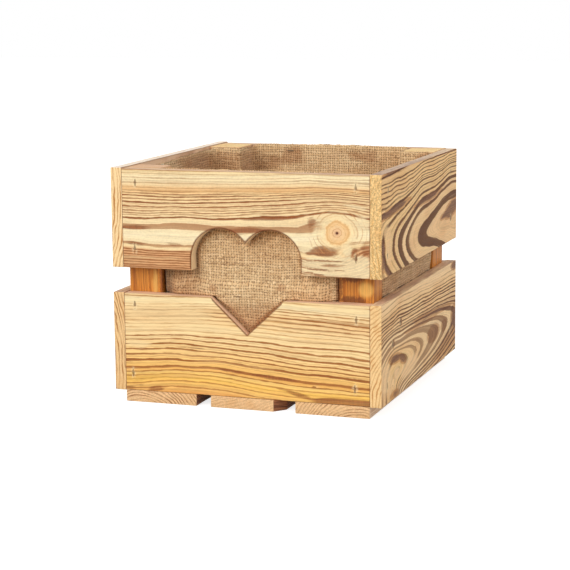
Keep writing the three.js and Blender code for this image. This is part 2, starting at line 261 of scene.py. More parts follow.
FRONT_LOWER = {
    "along": 0.4, "spread": 1.0, "light": (250, 206, 138), "cream": (252, 222, 166),
    "guides": [
        (100, -110, 100, 0, 100, 110, 99),
        (88, -110, 86, -70, 87, -30, 89, 30, 88, 60, 86.6, 110, 84.4),
        (80, -110, 77.6, -70, 79.6, -40, 82, 20, 81.6, 60, 80, 110, 77),
        (70, -110, 69, -50, 71.6, 0, 71, 50, 69, 110, 66),
        (59.2, -110, 57.7, -95, 58.5, -80, 59.7, -65, 61, -52, 61.3, -43, 60.2, -12, 60.3, 0, 59.2, 20, 58.9,
         35, 57.3, 60, 57, 75, 56, 90, 56.7, 100, 57, 110, 55),
        (55, -110, 54.8, -90, 55.8, -65, 57, -52, 57.5, -35, 56.3, -15, 56.3, 0, 55, 12, 55, 30, 53.2, 45, 52.2,
         68, 50.4, 85, 51, 95, 50.5, 110, 47.5),
        (50.5, -100, 51.4, -85, 52, -68, 53.6, -55, 53.8, -40, 52.5, -20, 52.2, 0, 50.3, 22, 50, 35, 47.5,
         65, 45, 80, 44.8, 95, 43.8, 110, 41.8),
        (46, -105, 46.5, -85, 47.3, -70, 49.2, -58, 49.6, -48, 48.5, -20, 47.5, 0, 46, 25, 44.3, 40, 42,
         70, 41.2, 90, 40.2, 110, 38),
        (42, -110, 41.8, -90, 42.3, -75, 43.5, -62, 44.5, -48, 43, -30, 43.8, 0, 42, 25, 40, 45, 38.3, 80, 37.5,
         110, 35.8),
        (38, -110, 36.5, -90, 37.8, -62, 39.5, -50, 38.7, -28, 40.3, -8, 39, 10, 37, 30, 36.5, 40, 34.8, 60, 34,
         80, 33.6, 110, 31.3),
        (32, -110, 29.6, -80, 31.5, -65, 34.5, -45, 33, -35, 34.7, -20, 34.8, -8, 32.8, 10, 30.5, 25, 30.3,
         38, 29, 50, 27, 90, 25.6, 110, 24),
        (22, -110, 20.2, -90, 21.6, -75, 24.5, -55, 25, -30, 24.4, -10, 23, 5, 20.5, 30, 18.4, 60, 17, 110, 17),
        (15, -110, 12.4, -92, 13.4, -78, 16, -60, 16.6, -40, 17, -20, 16, 0, 14, 10, 12, 40, 10.6, 110, 11),
        (9, -110, 6, -50, 9, 0, 8, 110, 5),
    ],
    "wood": [(8, (190, 122, 60)), (11, (236, 170, 92)), (14, (252, 202, 118)), (22, (253, 202, 100)),
        (27, (253, 210, 124)), (30, (244, 184, 98)), (36, (252, 204, 122)), (45, (253, 212, 142)),
        (56, (254, 222, 162)), (66, (254, 224, 168)), (80, (248, 208, 148)), (90, (253, 232, 182)),
        (93, (253, 230, 178)), (99, (242, 202, 142))],
    "dark": (156, 94, 44),
    "rings": [(14.4, 0.8, 0.7), (18.6, 0.8, 0.6), (21.6, 0.4, 0.3), (24.6, 0.9, 0.6), (28.2, 0.8, 0.8),
        (31.8, 1.9, 0.85), (35.6, 0.4, 0.3), (38, 1.5, 1.0), (40.4, 0.4, 0.3), (42.2, 1.0, 0.9),
        (46.1, 1.0, 0.9), (48.2, 0.3, 0.3), (50.6, 1.3, 0.95), (53, 0.3, 0.25), (55.1, 1.0, 0.85),
        (57.2, 0.3, 0.25), (59.2, 1.0, 0.9), (63.2, 0.6, 0.4), (66.8, 0.6, 0.45), (70.3, 0.6, 0.5),
        (73.4, 0.5, 0.55), (76.5, 0.7, 0.75), (79.9, 1.0, 0.9), (82.9, 0.6, 0.6), (85.9, 0.8, 0.8),
        (88.2, 0.6, 0.5), (94.5, 0.7, 0.6)],
    "marks": {
        "dark": [(92, 12.6, 30, 2.8, 0, 1.2), (48, 16.2, 15, 2.4, -14, 0.62), (34, 19.4, 8, 1.6, -12, 0.5),
            (-100, 15.6, 10, 1.6, 0, 0.5), (-82, 12.8, 8, 2.4, 10, 0.72), (26, 29.4, 22, 1.7, -4, 0.8),
            (-12, 32.6, 12, 1.7, -6, 0.75), (-106, 12, 6, 3, 0, 0.5), (-52, 50.4, 20, 0.9, 0, 0.5),
            (85, 33.6, 30, 1.2, -2, 0.6), (62, 57, 30, 0.8, 0, 0.4), (61.2, 23.9, 1.9, 0.6, 0, 1.2)],
        "pale": [(88, 91, 26, 4, -3, 0.9), (-88, 71, 20, 8, 0, 0.6), (-40, 69, 40, 4, 0, 0.7),
            (-98, 51, 12, 4, 0, 0.8), (-74, 80, 46, 9, 0, 0.85), (-50, 85, 40, 8, 0, 0.55),
            (-40, 91, 22, 3.6, 0, 0.7), (64, 24.6, 4, 2, 0, 0.5)],
        "fine": [(60, 77, 60, 10, -2, 0.8), (-55, 82, 50, 5, 2, 0.5), (60, 67, 52, 6, 0, 0.5),
            (-80, 65, 34, 4, 0, 0.4), (-60, 20, 60, 8, 0, 0.4)],
    },
}
SIDE_UPPER = {
    "along": 0.8, "spread": 0.6, "light": (252, 210, 156), "cream": (252, 210, 156),
    "guides": [
        (205, -125, 198.6, -100, 199.4, -85, 200.4, -60, 201.8, -40, 203),
        (199.8, -125, 193.6, -100, 194, -80, 195.3, -50, 196, -30, 196.8, -10, 199, 10, 200.7, 50, 200.9,
         125, 201.6),
        (197.6, -100, 189.4, -70, 191.3, -50, 192, -30, 193.4, -10, 196, 5, 198, 60, 198.6, 90, 199.6,
         125, 200),
        (194.5, -125, 186.8, -100, 187, -65, 188.4, -40, 190, -20, 191.6, 0, 194.6, 20, 195.5, 60, 195.9,
         125, 198),
        (191.3, -125, 184, -105, 184, -80, 185.8, -40, 188, 0, 191.4, 20, 191.9, 60, 192.6, 90, 195, 125, 196),
        (189, -125, 178.8, -112, 177.8, -100, 179, -90, 181, -75, 183, -40, 184.6, 0, 189, 50, 188.7, 80, 190.6,
         125, 192),
        (187, -125, 173.9, -110, 173.8, -95, 176, -80, 178.3, -60, 179.6, -30, 182, 0, 187, 40, 186.6,
         90, 190.4, 125, 191),
        (185, -125, 168, -100, 170, -80, 172.5, -60, 174.8, -40, 177, -20, 181, 0, 185, 10, 185.5, 50, 185.5,
         70, 186.5, 90, 189, 125, 189.6),
        (180, -97, 118, -104, 121, -114, 130, -119, 142, -118, 152, -110, 158, -90, 162, -60, 166.8, -40, 171,
         -25, 174, -10, 178, 0, 180, 40, 180.3, 60, 181.5, 90, 185.5, 125, 185),
        (174, -66, 118, -76, 124, -86, 130, -90, 136, -89, 143, -86, 149, -78, 154, -65, 158.5, -50, 162,
         -30, 166.5, -15, 170, 0, 173, 15, 174.2, 40, 174.6, 60, 176.5, 80, 179.5, 95, 181.5, 125, 181.3),
        (168.5, -48, 118, -58, 124, -66, 130, -70, 137, -68, 143, -60, 149, -50, 152.5, -38, 157, -25, 161,
         -10, 165, 0, 168, 35, 169.6, 60, 171.5, 80, 174.5, 95, 177, 125, 176.6),
        (162, -20, 118, -32, 124, -43, 130, -48, 136, -46, 141, -38, 147, -28, 152, -16, 156, -5, 159, 10, 161,
         35, 162.2, 50, 163.6, 80, 168, 95, 170.4, 125, 170),
        (152, 56, 118, 40, 121, 15, 124, -5, 127, -16, 131, -20, 136.5, -13, 142.6, 2, 147, 20, 149.6,
         40, 154.4, 60, 158.4, 95, 163.6, 125, 164),
        (144, 75, 118.2, 60, 121.6, 40, 125.6, 20, 128.8, 6, 131.4, -1, 134.6, 0, 138.4, 8, 141.8, 20, 144.4,
         40, 149, 60, 153.8, 95, 159.2, 125, 159.6),
        (137, 76, 120.6, 60, 124.6, 40, 129.4, 25, 133.4, 17, 137, 25, 140.6, 40, 145.6, 60, 150.6, 75, 153.6,
         95, 156, 125, 156),
        (128, 60, 137, 80, 140, 100, 134, 125, 130),
    ],
    "wood": [(124, (246, 202, 150)), (136, (250, 208, 156)), (155, (250, 210, 156)), (165, (253, 214, 164)),
        (172, (252, 210, 152)), (180, (253, 212, 152)), (190, (253, 210, 150)), (200, (252, 208, 148)),
        (214, (240, 194, 142))],
    "dark": (88, 50, 22),
    "rings": [(144.4, 11.2, 0.94), (161.9, 3.0, 0.9), (168.6, 3.6, 0.92), (174, 1.6, 0.9), (177, 0.3, 0.3),
        (180.1, 1.1, 0.9), (182.6, 0.3, 0.3), (185, 1.2, 0.95), (187.1, 0.4, 0.8), (189.1, 0.45, 0.9),
        (191.5, 0.5, 0.9), (194.7, 0.6, 0.9), (197.9, 0.5, 0.9), (200.2, 0.7, 0.9), (205.6, 1.2, 0.95)],
    "marks": {
        "dark": [(108, 147.5, 20, 5.4, 8, 1.1), (84, 144.5, 14, 2.2, 6, 1.0), (104, 139.4, 2.6, 1.8, 0, 1.1),
            (-123, 141, 7, 6, 0, 0.8), (-120, 130, 5, 6, 10, 0.72), (-108, 122, 12, 2.8, -30, 0.8),
            (-98, 202, 20, 1.4, 2, 0.8), (-90, 170, 38, 2.6, 4, 1.0), (22, 167, 34, 2.2, 3, 0.8)],
        "pale": [(-104, 140, 9, 15, 0, 1.0), (-110, 154, 10, 5, 0, 0.9), (70, 131, 40, 7, -4, 0.6),
            (-60, 181, 30, 3, 6, 0.5), (10, 152, 20, 3, 8, 0.6)],
        "fine": [(-60, 193, 50, 7, 2, 0.5), (80, 128, 40, 6, 0, 0.3)],
    },
}
SIDE_LOWER = {
    "along": 0.6, "spread": 0.7, "light": (253, 214, 164), "cream": (253, 214, 164),
    "guides": [
        (74, -125, 94, -80, 97, 0, 96, 125, 92),
        (62, -125, 81.6, -95, 83.5, -75, 85, -50, 84, -20, 82.5, 30, 81, 60, 80, 125, 79),
        (59, -110, 79, -90, 80, -75, 81.7, -60, 81.4, -30, 80, 0, 80, 50, 79, 125, 77),
        (56, -110, 76, -90, 76.5, -75, 79, -62, 77.4, -40, 77, 0, 77.5, 60, 76, 125, 74.4),
        (53, -90, 74, -75, 76.4, -60, 75, -45, 74, -10, 73.7, 30, 73, 70, 72, 125, 70.5),
        (45, -120, 67.5, -100, 69, -80, 70, -50, 68.6, -10, 67.8, 20, 66.8, 60, 66, 90, 64, 125, 61),
        (40, -125, 61.6, -110, 64.6, -85, 66, -50, 65, -10, 64, 10, 63, 30, 62, 60, 61, 90, 58.6, 110, 56,
         125, 54),
        (34, -125, 57, -110, 60.8, -90, 62.8, -60, 62.2, -20, 61.4, 10, 59.6, 40, 57.8, 60, 56.6, 85, 52,
         100, 48, 108, 43.4, 102, 38.6, 90, 33.6, 80, 30.4, 60, 26.2, 40, 23, 20, 20.4, 0, 18.6, -20, 17,
         -45, 15, -72, 11),
        (30, -100, 60, -60, 59.4, -20, 58.6, 20, 56, 40, 54.2, 60, 51.2, 75, 47.6, 85, 42.8, 76, 35.8, 60, 30.8,
         40, 26.4, 10, 21.8, -30, 18),
        (26, -125, 50.5, -110, 55, -95, 57.2, -70, 56.8, -30, 56.4, 0, 55.6, 30, 53.4, 50, 49.8, 62, 46.6,
         69.4, 42.8, 66, 38.6, 60, 35, 50, 31.2, 40, 28.4, 25, 26, 0, 23.6, -30, 20.2, -60, 15.8, -77, 11),
        (20, -70, 55, -20, 54.6, 10, 51.8, 30, 47.6, 46, 42, 36, 35, 15, 28.6),
        (14, -125, 44, -112, 49.6, -98, 52.8, -70, 53.4, -30, 53, -10, 51, 5, 47.6, 15, 44, 19.4, 40, 14, 35,
         4, 30.6, -15, 26.8, -45, 21, -72, 13),
        (9, -70, 51.6, -35, 50.2, -20, 47.6, -8, 43.4, 0, 38, -8, 32),
        (5, -124, 12, -123, 28, -118, 40, -106, 47, -92, 50.2, -65, 49.6, -40, 48, -24, 44.6, -12, 40, -6, 36,
         -14, 31),
        (1, -60, 47.8, -42, 46, -30, 42, -20, 37, -24, 32),
        (-3, -118, 10, -118, 22, -116, 33, -104, 43.6, -88, 47.8, -72, 47.4, -56, 45, -44, 41, -36, 36,
         -36, 30),
        (-6, -112, 10, -112, 24, -108, 36, -98, 42.4, -86, 45.2, -70, 44, -58, 41.6, -50, 38.4),
        (-10, -104, 12, -104, 32, -94, 38.6, -82, 40.4, -66, 39.4, -56, 37),
        (-16, -98, 20, -85, 29, -66, 28),
        (-22, -94, 9, -86, 14, -80, 9),
        (40, 125, 36, 110, 33.4, 90, 27.4, 60, 20.8, 30, 17.2, 0, 15, -30, 13),
        (44.4, 125, 29, 90, 21.4, 60, 16, 30, 13, 0, 11),
        (49.4, 125, 21, 90, 15, 60, 11),
        (54.2, 125, 13.4, 100, 10),
    ],
    "wood": [(-24, (250, 208, 142)), (-14, (250, 208, 146)), (-4, (252, 210, 152)), (6, (248, 208, 154)),
        (14, (250, 214, 164)), (26, (253, 218, 170)), (34, (253, 218, 168)), (45, (253, 212, 158)),
        (60, (253, 212, 156)), (74, (252, 216, 168))],
    "dark": (98, 58, 32),
    "rings": [(-20.4, 0.8, 0.3), (-15.8, 0.8, 0.35), (-7.6, 3.4, 0.6), (1.4, 2.6, 0.46), (9, 3.4, 0.5),
        (20, 8.2, 0.5), (30, 3.8, 0.56), (37.3, 2.6, 0.85), (40.2, 0.3, 0.5), (41.9, 1.2, 0.95),
        (43.6, 0.3, 0.4), (45.2, 1.1, 0.95), (49, 1.1, 1.0), (51, 0.3, 0.3), (53.2, 1.1, 1.0),
        (55.8, 1.2, 0.95), (59.1, 0.9, 1.0), (62.1, 0.6, 0.9), (65.8, 0.4, 0.45), (70.2, 0.4, 0.45)],
    "marks": {
        "dark": [(42, 41, 16, 6, 0, 0.45), (-84, 43.4, 14, 3.0, -4, 0.9), (-62, 39, 9, 3, -20, 0.8),
            (120, 42, 10, 9, 0, 1.0), (118, 92, 9, 3, 0, 1.1), (-86, 13, 10, 2.6, 0, 0.6),
            (40, 60, 50, 2.2, -3, 0.6), (-4, 58, 40, 1.6, -2, 0.55), (80, 41, 8, 4, 0, 0.5),
            (-67, 72, 2.6, 2.4, 0, 1.3), (-90, 57, 2.6, 2.4, 0, 1.3), (100, 23, 52, 10, 9, 0.14)],
        "pale": [(-40, 28, 26, 7, 4, 1.1), (20, 90, 60, 4, 0, 0.7), (-112, 30, 16, 16, 20, 0.8),
            (-98, 22, 18, 10, 0, 0.7), (-78, 30, 12, 6, 0, 0.8)],
        "fine": [(-90, 79, 40, 5, 0, 0.5), (-20, 88, 90, 5, 0, 0.4)],
    },
}
WOODS = {"front_upper": FRONT_UPPER, "front_lower": FRONT_LOWER, "side_upper": SIDE_UPPER,
         "side_lower": SIDE_LOWER}


def ring_stops(rings):
    """Colour stops of slow wood tones crossed by dark rings, each a middle, a width and a strength."""
    levels, tones = zip(*rings["wood"])

    def tone(level, strength=0.0):
        plain = [np.interp(level, levels, channel) for channel in zip(*tones)]
        return tuple(p + strength * (d - p) for p, d in zip(plain, rings["dark"]))

    stops, taken = [], []
    for middle, width, strength in rings["rings"]:
        low, high = middle - width / 2, middle + width / 2
        stops += [(low - 0.45, tone(low - 0.45)), (low + 0.1, tone(low, 0.9 * strength)),
                  (high - 0.05, tone(high, strength)), (high + 0.25, tone(high + 0.25))]
        taken.append((low - 0.6, high + 0.4))
    stops += [(level, tone(level)) for level in levels if not any(a < level < b for a, b in taken)]
    return sorted(stops)


def straight_grain(seed):
    """Guides of a plain slat: level lines that sway together."""
    rng = random.Random(seed)
    first, second = rng.uniform(0, 6.28), rng.uniform(0, 6.28)
    guides = []
    for step in range(5):
        v = 20.0 * step - 40
        line = []
        for u in range(-125, 126, 50):
            bend = math.sin(u / 60 + first) + 0.6 * math.sin(u / 33 + second + step)
            line += (u, v + 3.0 * bend)
        guides.append((v, *line))
    return guides


def grain_field(guides, along):
    """A smooth ring level over a face, by a thin plate through the guides."""
    points = np.array([(u * along, v, level) for level, *line in guides
                       for u, v in zip(line[::2], line[1::2])], float)
    xy, level = points[:, :2], points[:, 2]

    def kernel(a, b):
        r2 = ((a[:, None, :] - b[None, :, :]) ** 2).sum(-1)
        return 0.5 * r2 * np.log(r2 + 1e-9)

    count = len(points)
    matrix = np.zeros((count + 3, count + 3))
    matrix[:count, :count] = kernel(xy, xy) + STIFFNESS * np.eye(count) * count
    plane = np.column_stack([np.ones(count), xy])
    matrix[:count, count:] = plane
    matrix[count:, :count] = plane.T
    weights = np.linalg.solve(matrix, np.concatenate([level, np.zeros(3)]))

    def at(u, v):
        where = np.column_stack([u * along, v])
        out = np.empty(len(where))
        for start in range(0, len(where), AT_ONCE):
            part = where[start:start + AT_ONCE]
            flat = np.column_stack([np.ones(len(part)), part])
            out[start:start + AT_ONCE] = kernel(part, xy) @ weights[:count] + flat @ weights[count:]
        return out
    return at


def mark_strength(ovals, u, v):
    """How strongly soft oval marks cover each point."""
    total = np.zeros(len(u))
    for cu, cv, ru, rv, turn, strength in ovals:
        c, s = math.cos(math.radians(turn)), math.sin(math.radians(turn))
        du, dv = u - cu, v - cv
        q = np.hypot((du * c + dv * s) / ru, (dv * c - du * s) / rv)
        total = np.maximum(total, strength * np.clip(1.6 - q, 0, 1))
    return total


# Outlines of the wooden pieces, in the two axes of their wide face

HEART_X, LOBE_OFFSET, LOBE_RADIUS, LOBE_Z, LOBE_POINTS = 1.5, 22.3, 26.5, 127.5, 26
POINT_X, POINT_DEPTH, POINT_REACH = 2.3, 30.2, 32.39
SLOPE = 1.5


def rectangle(u0, u1, v0, v1):
    return [(u0, v0), (u1, v0), (u1, v1), (u0, v1)]


def circle_part(cu, cv, radius, start, end):
    angles = np.radians(np.linspace(start, end, LOBE_POINTS))
    return [(cu + radius * math.cos(a), cv + radius * math.sin(a)) for a in angles]


def outline_with_lobes(u0, u1, v0, v1):
    reach = LOBE_OFFSET + LOBE_RADIUS
    notch = math.degrees(math.acos(LOBE_OFFSET / LOBE_RADIUS))
    left = circle_part(HEART_X - LOBE_OFFSET, LOBE_Z, LOBE_RADIUS, 180, notch)
    right = circle_part(HEART_X + LOBE_OFFSET, LOBE_Z, LOBE_RADIUS, 180 - notch, 0)
    start, end = (HEART_X - reach, v0), (HEART_X + reach, v0)
    return [(u0, v0), start, *left, *right[1:], end, (u1, v0), (u1, v1), (u0, v1)]


def sloped(u0, u1, v0, v1):
    """A board whose upper edge drops a little towards its far end."""
    return [(u0, v0), (u1, v0), (u1, v1 - SLOPE), (u0, v1)]


def outline_with_point(u0, u1, v0, v1):
    return [(u0, v0), (u1, v0), (u1, v1), (POINT_X + POINT_REACH, v1),
            (POINT_X, v1 - POINT_DEPTH), (POINT_X - POINT_REACH, v1), (u0, v1)]


def sampled(outline, pitch, corner):
    """The outline in short steps, with its sharp corners rounded off by a little."""
    count = len(outline)
    rounded = []
    for i in range(count):
        before, here, after = (np.array(outline[(i + k) % count], float) for k in (-1, 0, 1))
        a, b = before - here, after - here
        la, lb = np.linalg.norm(a), np.linalg.norm(b)
        cosine = a @ b / (la * lb)
        if cosine < -0.9:
            rounded.append(here)
            continue
        for share in (0.0, 0.5, 1.0):
            cut = min(corner, 0.3 * la, 0.3 * lb)
            first, last = here + a / la * cut, here + b / lb * cut
            middle = 0.5 * here + 0.25 * (first + last)
            rounded.append(first if share == 0 else last if share == 1 else middle)
    points = []
    for i, here in enumerate(rounded):
        after = rounded[(i + 1) % len(rounded)]
        length = np.linalg.norm(after - here)
        steps = max(1, int(math.ceil(length / pitch)))
        for k in range(steps):
            points.append(here + (after - here) * k / steps)
    return np.array(points)


def outward(points):
    """Unit normals of a closed outline, stretched so that an inset keeps its width at corners."""
    forward = np.roll(points, -1, 0) - points
    forward /= np.linalg.norm(forward, axis=1)[:, None]
    backward = np.roll(forward, 1, 0)
    area = 0.5 * np.sum(points[:, 0] * np.roll(points[:, 1], -1) - np.roll(points[:, 0], -1) * points[:, 1])
    side = 1 if area > 0 else -1
    normal = np.column_stack([forward[:, 1] + backward[:, 1], -forward[:, 0] - backward[:, 0]]) * side
    normal /= np.linalg.norm(normal, axis=1)[:, None]
    edge = np.column_stack([forward[:, 1], -forward[:, 0]]) * side
    stretch = np.clip((normal * edge).sum(1), 0.6, 1)
    return normal / stretch[:, None]


def inside(points, polygon):
    """Which points lie inside a closed polygon."""
    x, y = points[:, 0], points[:, 1]
    result = np.zeros(len(points), bool)
    for (x0, y0), (x1, y1) in zip(polygon, np.roll(polygon, -1, 0)):
        crosses = (y0 > y) != (y1 > y)
        if y0 != y1:
            result ^= crosses & (x < (x1 - x0) * (y - y0) / (y1 - y0) + x0)
    return result


def nearest(points, others):
    """Each point's distance to the nearest of some others."""
    best = np.full(len(points), 1e9)
    for start in range(0, len(others), 200):
        part = others[start:start + 200]
        best = np.minimum(best, np.hypot(*(points[:, None, :] - part[None, :, :]).transpose(2, 0, 1)).min(1))
    return best


# The grid on a face, in shares of its pitch: between rows, sideways jitter, room beside a rim
ROW_SHARE, JITTER, CLEAR = 0.866, 0.12, 0.55


def filled(ring, holes, pitch, seed):
    """Points and triangles over a face: its rim and holes as given, and a jittered grid between them."""
    rng = np.random.default_rng(seed)
    low, high = ring.min(0), ring.max(0)
    rows = np.arange(low[1], high[1], pitch * ROW_SHARE)
    grid = []
    for k, v in enumerate(rows):
        us = np.arange(low[0] + (k % 2) * pitch / 2, high[0], pitch)
        grid.append(np.column_stack([us, np.full(len(us), v)]))
    grid = np.concatenate(grid) + rng.uniform(-JITTER, JITTER, (sum(map(len, grid)), 2)) * pitch
    grid = grid[inside(grid, ring)]
    rims = [ring, *holes]
    for rim in rims:
        dense = np.concatenate([rim, (rim + np.roll(rim, -1, 0)) / 2])
        grid = grid[nearest(grid, dense) > CLEAR * pitch]
    for hole in holes:
        grid = grid[~inside(grid, hole)]
    points = np.concatenate([*rims, grid])
    edges, start = [], 0
    for rim in rims:
        edges += [(start + i, start + (i + 1) % len(rim)) for i in range(len(rim))]
        start += len(rim)
    made, _, faces, origin, _, _ = delaunay_2d_cdt([Vector(p) for p in points], edges, [], 2, 1e-6)
    extra, known = [], []
    for place, source in zip(made, origin):
        known.append(source[0] if source else len(points) + len(extra))
        if not source:
            extra.append(place)
    points = np.concatenate([points, np.array(extra, float).reshape(-1, 2)])
    return points, [[known[i] for i in face] for face in faces]


def add_piece(name, verts, faces, materials, smooth=None, kinds=None, weave=None, closed=True, **values):
    """A piece on the crate's one body, from points in millimetres.

    kinds gives each face's material, weave each corner's place on the cloth, and values three numbers
    for each point, which the materials read.
    """
    mesh = bpy.data.meshes.new(name)
    mesh.from_pydata((np.asarray(verts) * MM).tolist(), [], faces)
    mesh.polygons.foreach_set("use_smooth", smooth or [True] * len(faces))
    mesh.polygons.foreach_set("material_index", kinds or [0] * len(faces))
    if weave is not None:
        layer = mesh.uv_layers.new(name="weave")
        layer.data.foreach_set("uv", weave.astype(np.float32).ravel())
    for key, numbers in values.items():
        layer = mesh.attributes.new(key, "FLOAT_VECTOR", "POINT")
        layer.data.foreach_set("vector", np.asarray(numbers, np.float32).ravel())
    if closed:
        repair = bmesh.new()
        repair.from_mesh(mesh)
        bmesh.ops.recalc_face_normals(repair, faces=repair.faces)
        repair.to_mesh(mesh)
        repair.free()
    for material in materials:
        mesh.materials.append(material)
    piece = bpy.data.objects.new(name, mesh)
    bpy.context.scene.collection.objects.link(piece)
    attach(piece, "root")
    return piece


FACE, BACK, END, EDGE, TORN = range(5)
OUTLINE_STEP, EDGE_SWAY = 2.5, 0.12
END_REACH, END_EASE, EASE_ANGLES = 3, 0.35, (0, 30, 60, 90)
NICK_MARGIN, NICK_DEPTH, NICK_FLOOR = 0.12, 1.35, 0.92
NICK_CORNERS = ((-1, -1), (0, -1), (1, -1), (1, 0), (1, 1), (0, 1), (-1, 1), (-1, 0))
FAR = 9.0


class Plank:
    """One sawn piece of wood with eased edges, its staple nicks and its grain."""

    def __init__(self, node, origin, axes, outline, thickness, ease=0.6, pitch=2.0, corner=0.5, seed=0,
                 splay=0.0):
        self.node, self.seed, self.pitch, self.thickness = node, seed, pitch, thickness
        self.origin = np.array(origin, float)
        self.axes = np.array(axes, float)
        self.outline = sampled(outline, OUTLINE_STEP, corner)
        self.ease, self.splay, self.holes = ease, splay, []

    def nick(self, staple):
        """A torn slot in the outer face for a staple's crown."""
        a, b = (self.axes @ (np.array(corner) / MM - self.origin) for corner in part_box(staple))
        low, high = np.minimum(a, b)[:2], np.maximum(a, b)[:2]
        rng = random.Random(f"{staple}{self.seed}")
        centre, half = (low + high) / 2, (high - low) / 2 + NICK_MARGIN
        self.holes.append(np.array([centre + half * way * rng.uniform(0.9, 1.12) for way in NICK_CORNERS]))

    def wobble(self, scale, shift):
        return np.array([noise.noise(Vector((u * scale, v * scale, shift + self.seed)))
                         for u, v in self.outline])

    def splayed(self, ring, share):
        """A ring of the outline at a share of the thickness, where a leaning saw widens the heart's point."""
        off = ring[:, 0] - POINT_X
        cut = (np.abs(off) < POINT_REACH + 1) & (ring[:, 1] > self.outline[:, 1].min() + 20)
        tip = np.abs(off) < 0.6
        ring[cut & tip, 1] -= self.splay * share
        ring[cut & ~tip, 0] += np.sign(off[cut & ~tip]) * self.splay * share
        return ring

    def build(self, materials, field, marks, flip=(1, 1, 0)):
        """Makes the piece, with materials for its face, back, ends, edges and nicks."""
        normal = outward(self.outline)
        base = self.outline - normal * (EDGE_SWAY * (0.6 + self.wobble(0.06, 3.1)))[:, None]
        along = base[:, 0]
        at_end = np.minimum(np.abs(along - along.min()), np.abs(along - along.max())) < END_REACH
        ends = (np.abs(normal[:, 0]) > 0.75) & at_end
        ease = self.ease * (0.9 + 0.5 * self.wobble(0.11, 7.7)) * np.where(ends, END_EASE, 1.0)
        bend = [(1 - math.sin(a), ease * (1 - math.cos(a))) for a in np.radians(EASE_ANGLES)]
        shares = np.linspace(0, 1, max(3, int(self.thickness / 4)))[1:-1]
        levels = [(inset, w, 0) for inset, w in bend]
        levels += [(0, ease + (self.thickness - 2 * ease) * share, share) for share in shares]
        levels += [(inset, self.thickness - w, 1) for inset, w in reversed(bend)]
        rings = [self.splayed(base - normal * (ease * inset)[:, None], share) for inset, _, share in levels]
        verts = [np.column_stack([ring, w]) for ring, (_, w, _) in zip(rings, levels)]
        count, last = len(base), len(rings) - 1
        faces, kinds = [], []
        for k in range(last):
            for i in range(count):
                j = (i + 1) % count
                faces.append((k * count + i, k * count + j, (k + 1) * count + j, (k + 1) * count + i))
                side = END if ends[i] and ends[j] else EDGE
                kinds.append(FACE if k < len(bend) - 1 else BACK if k > last - len(bend) else side)
        smooth = [True] * len(faces)
        total = count * len(rings)
        for kind, ring, first, w, holes in ((FACE, rings[0], 0, 0.0, self.holes),
                                            (BACK, rings[last], last * count, self.thickness, [])):
            points, cap = filled(ring, holes, self.pitch, self.seed + kind)
            added = points[count:]
            verts.append(np.column_stack([added, np.full(len(added), w)]))
            faces += [[first + i if i < count else total + i - count for i in face] for face in cap]
            kinds += [kind] * len(cap)
            start, total = total, total + len(added)
            for hole in holes:
                size = len(hole)
                floor = hole.mean(0) + (hole - hole.mean(0)) * NICK_FLOOR
                verts.append(np.column_stack([floor, np.full(size, NICK_DEPTH)]))
                for i in range(size):
                    j = (i + 1) % size
                    faces.append((start + i, start + j, total + j, total + i))
                faces.append(list(range(total, total + size)))
                kinds += [TORN] * (size + 1)
                start, total = start + size, total + size
        smooth += [False] * (len(faces) - len(smooth))
        local = np.concatenate(verts)
        piece = add_piece("wood_" + self.node, self.origin + local @ self.axes, faces, materials, smooth,
                          kinds, **self.painted(local, base, field, marks, flip))
        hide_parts(self.node)

    def painted(self, local, base, field, marks, flip):
        """What the materials read: place on the piece, ring level, marks and distances."""
        u, v, w = local.T
        fu, fv = flip[0] * u, flip[1] * v + flip[2]
        dark, pale, fine = (mark_strength(marks.get(kind, []), fu, fv) for kind in ("dark", "pale", "fine"))
        flat = local[:, :2]
        side = np.minimum(np.abs(base - base.min(0)), np.abs(base - base.max(0))).min(1) <= 1.0
        edge = nearest(flat, base[side]) + 1.1
        if not side.all():
            edge = np.minimum(edge, nearest(flat, base[~side]))
        nick = np.full(len(local), FAR)
        for hole in self.holes:
            nick = np.minimum(nick, nearest(flat, np.array([hole.mean(0), *hole[1::2]])))
        return {"board": np.column_stack([fu, fv, w]),
                "grain": np.column_stack([field(fu, fv), fine, nick]),
                "mark": np.column_stack([dark, pale, np.clip(edge, 0, FAR)])}


# Wood

# Woods whose rings wander more than this are plain, and the others have the side boards' broad bands
PLAIN_SPREAD = 0.8


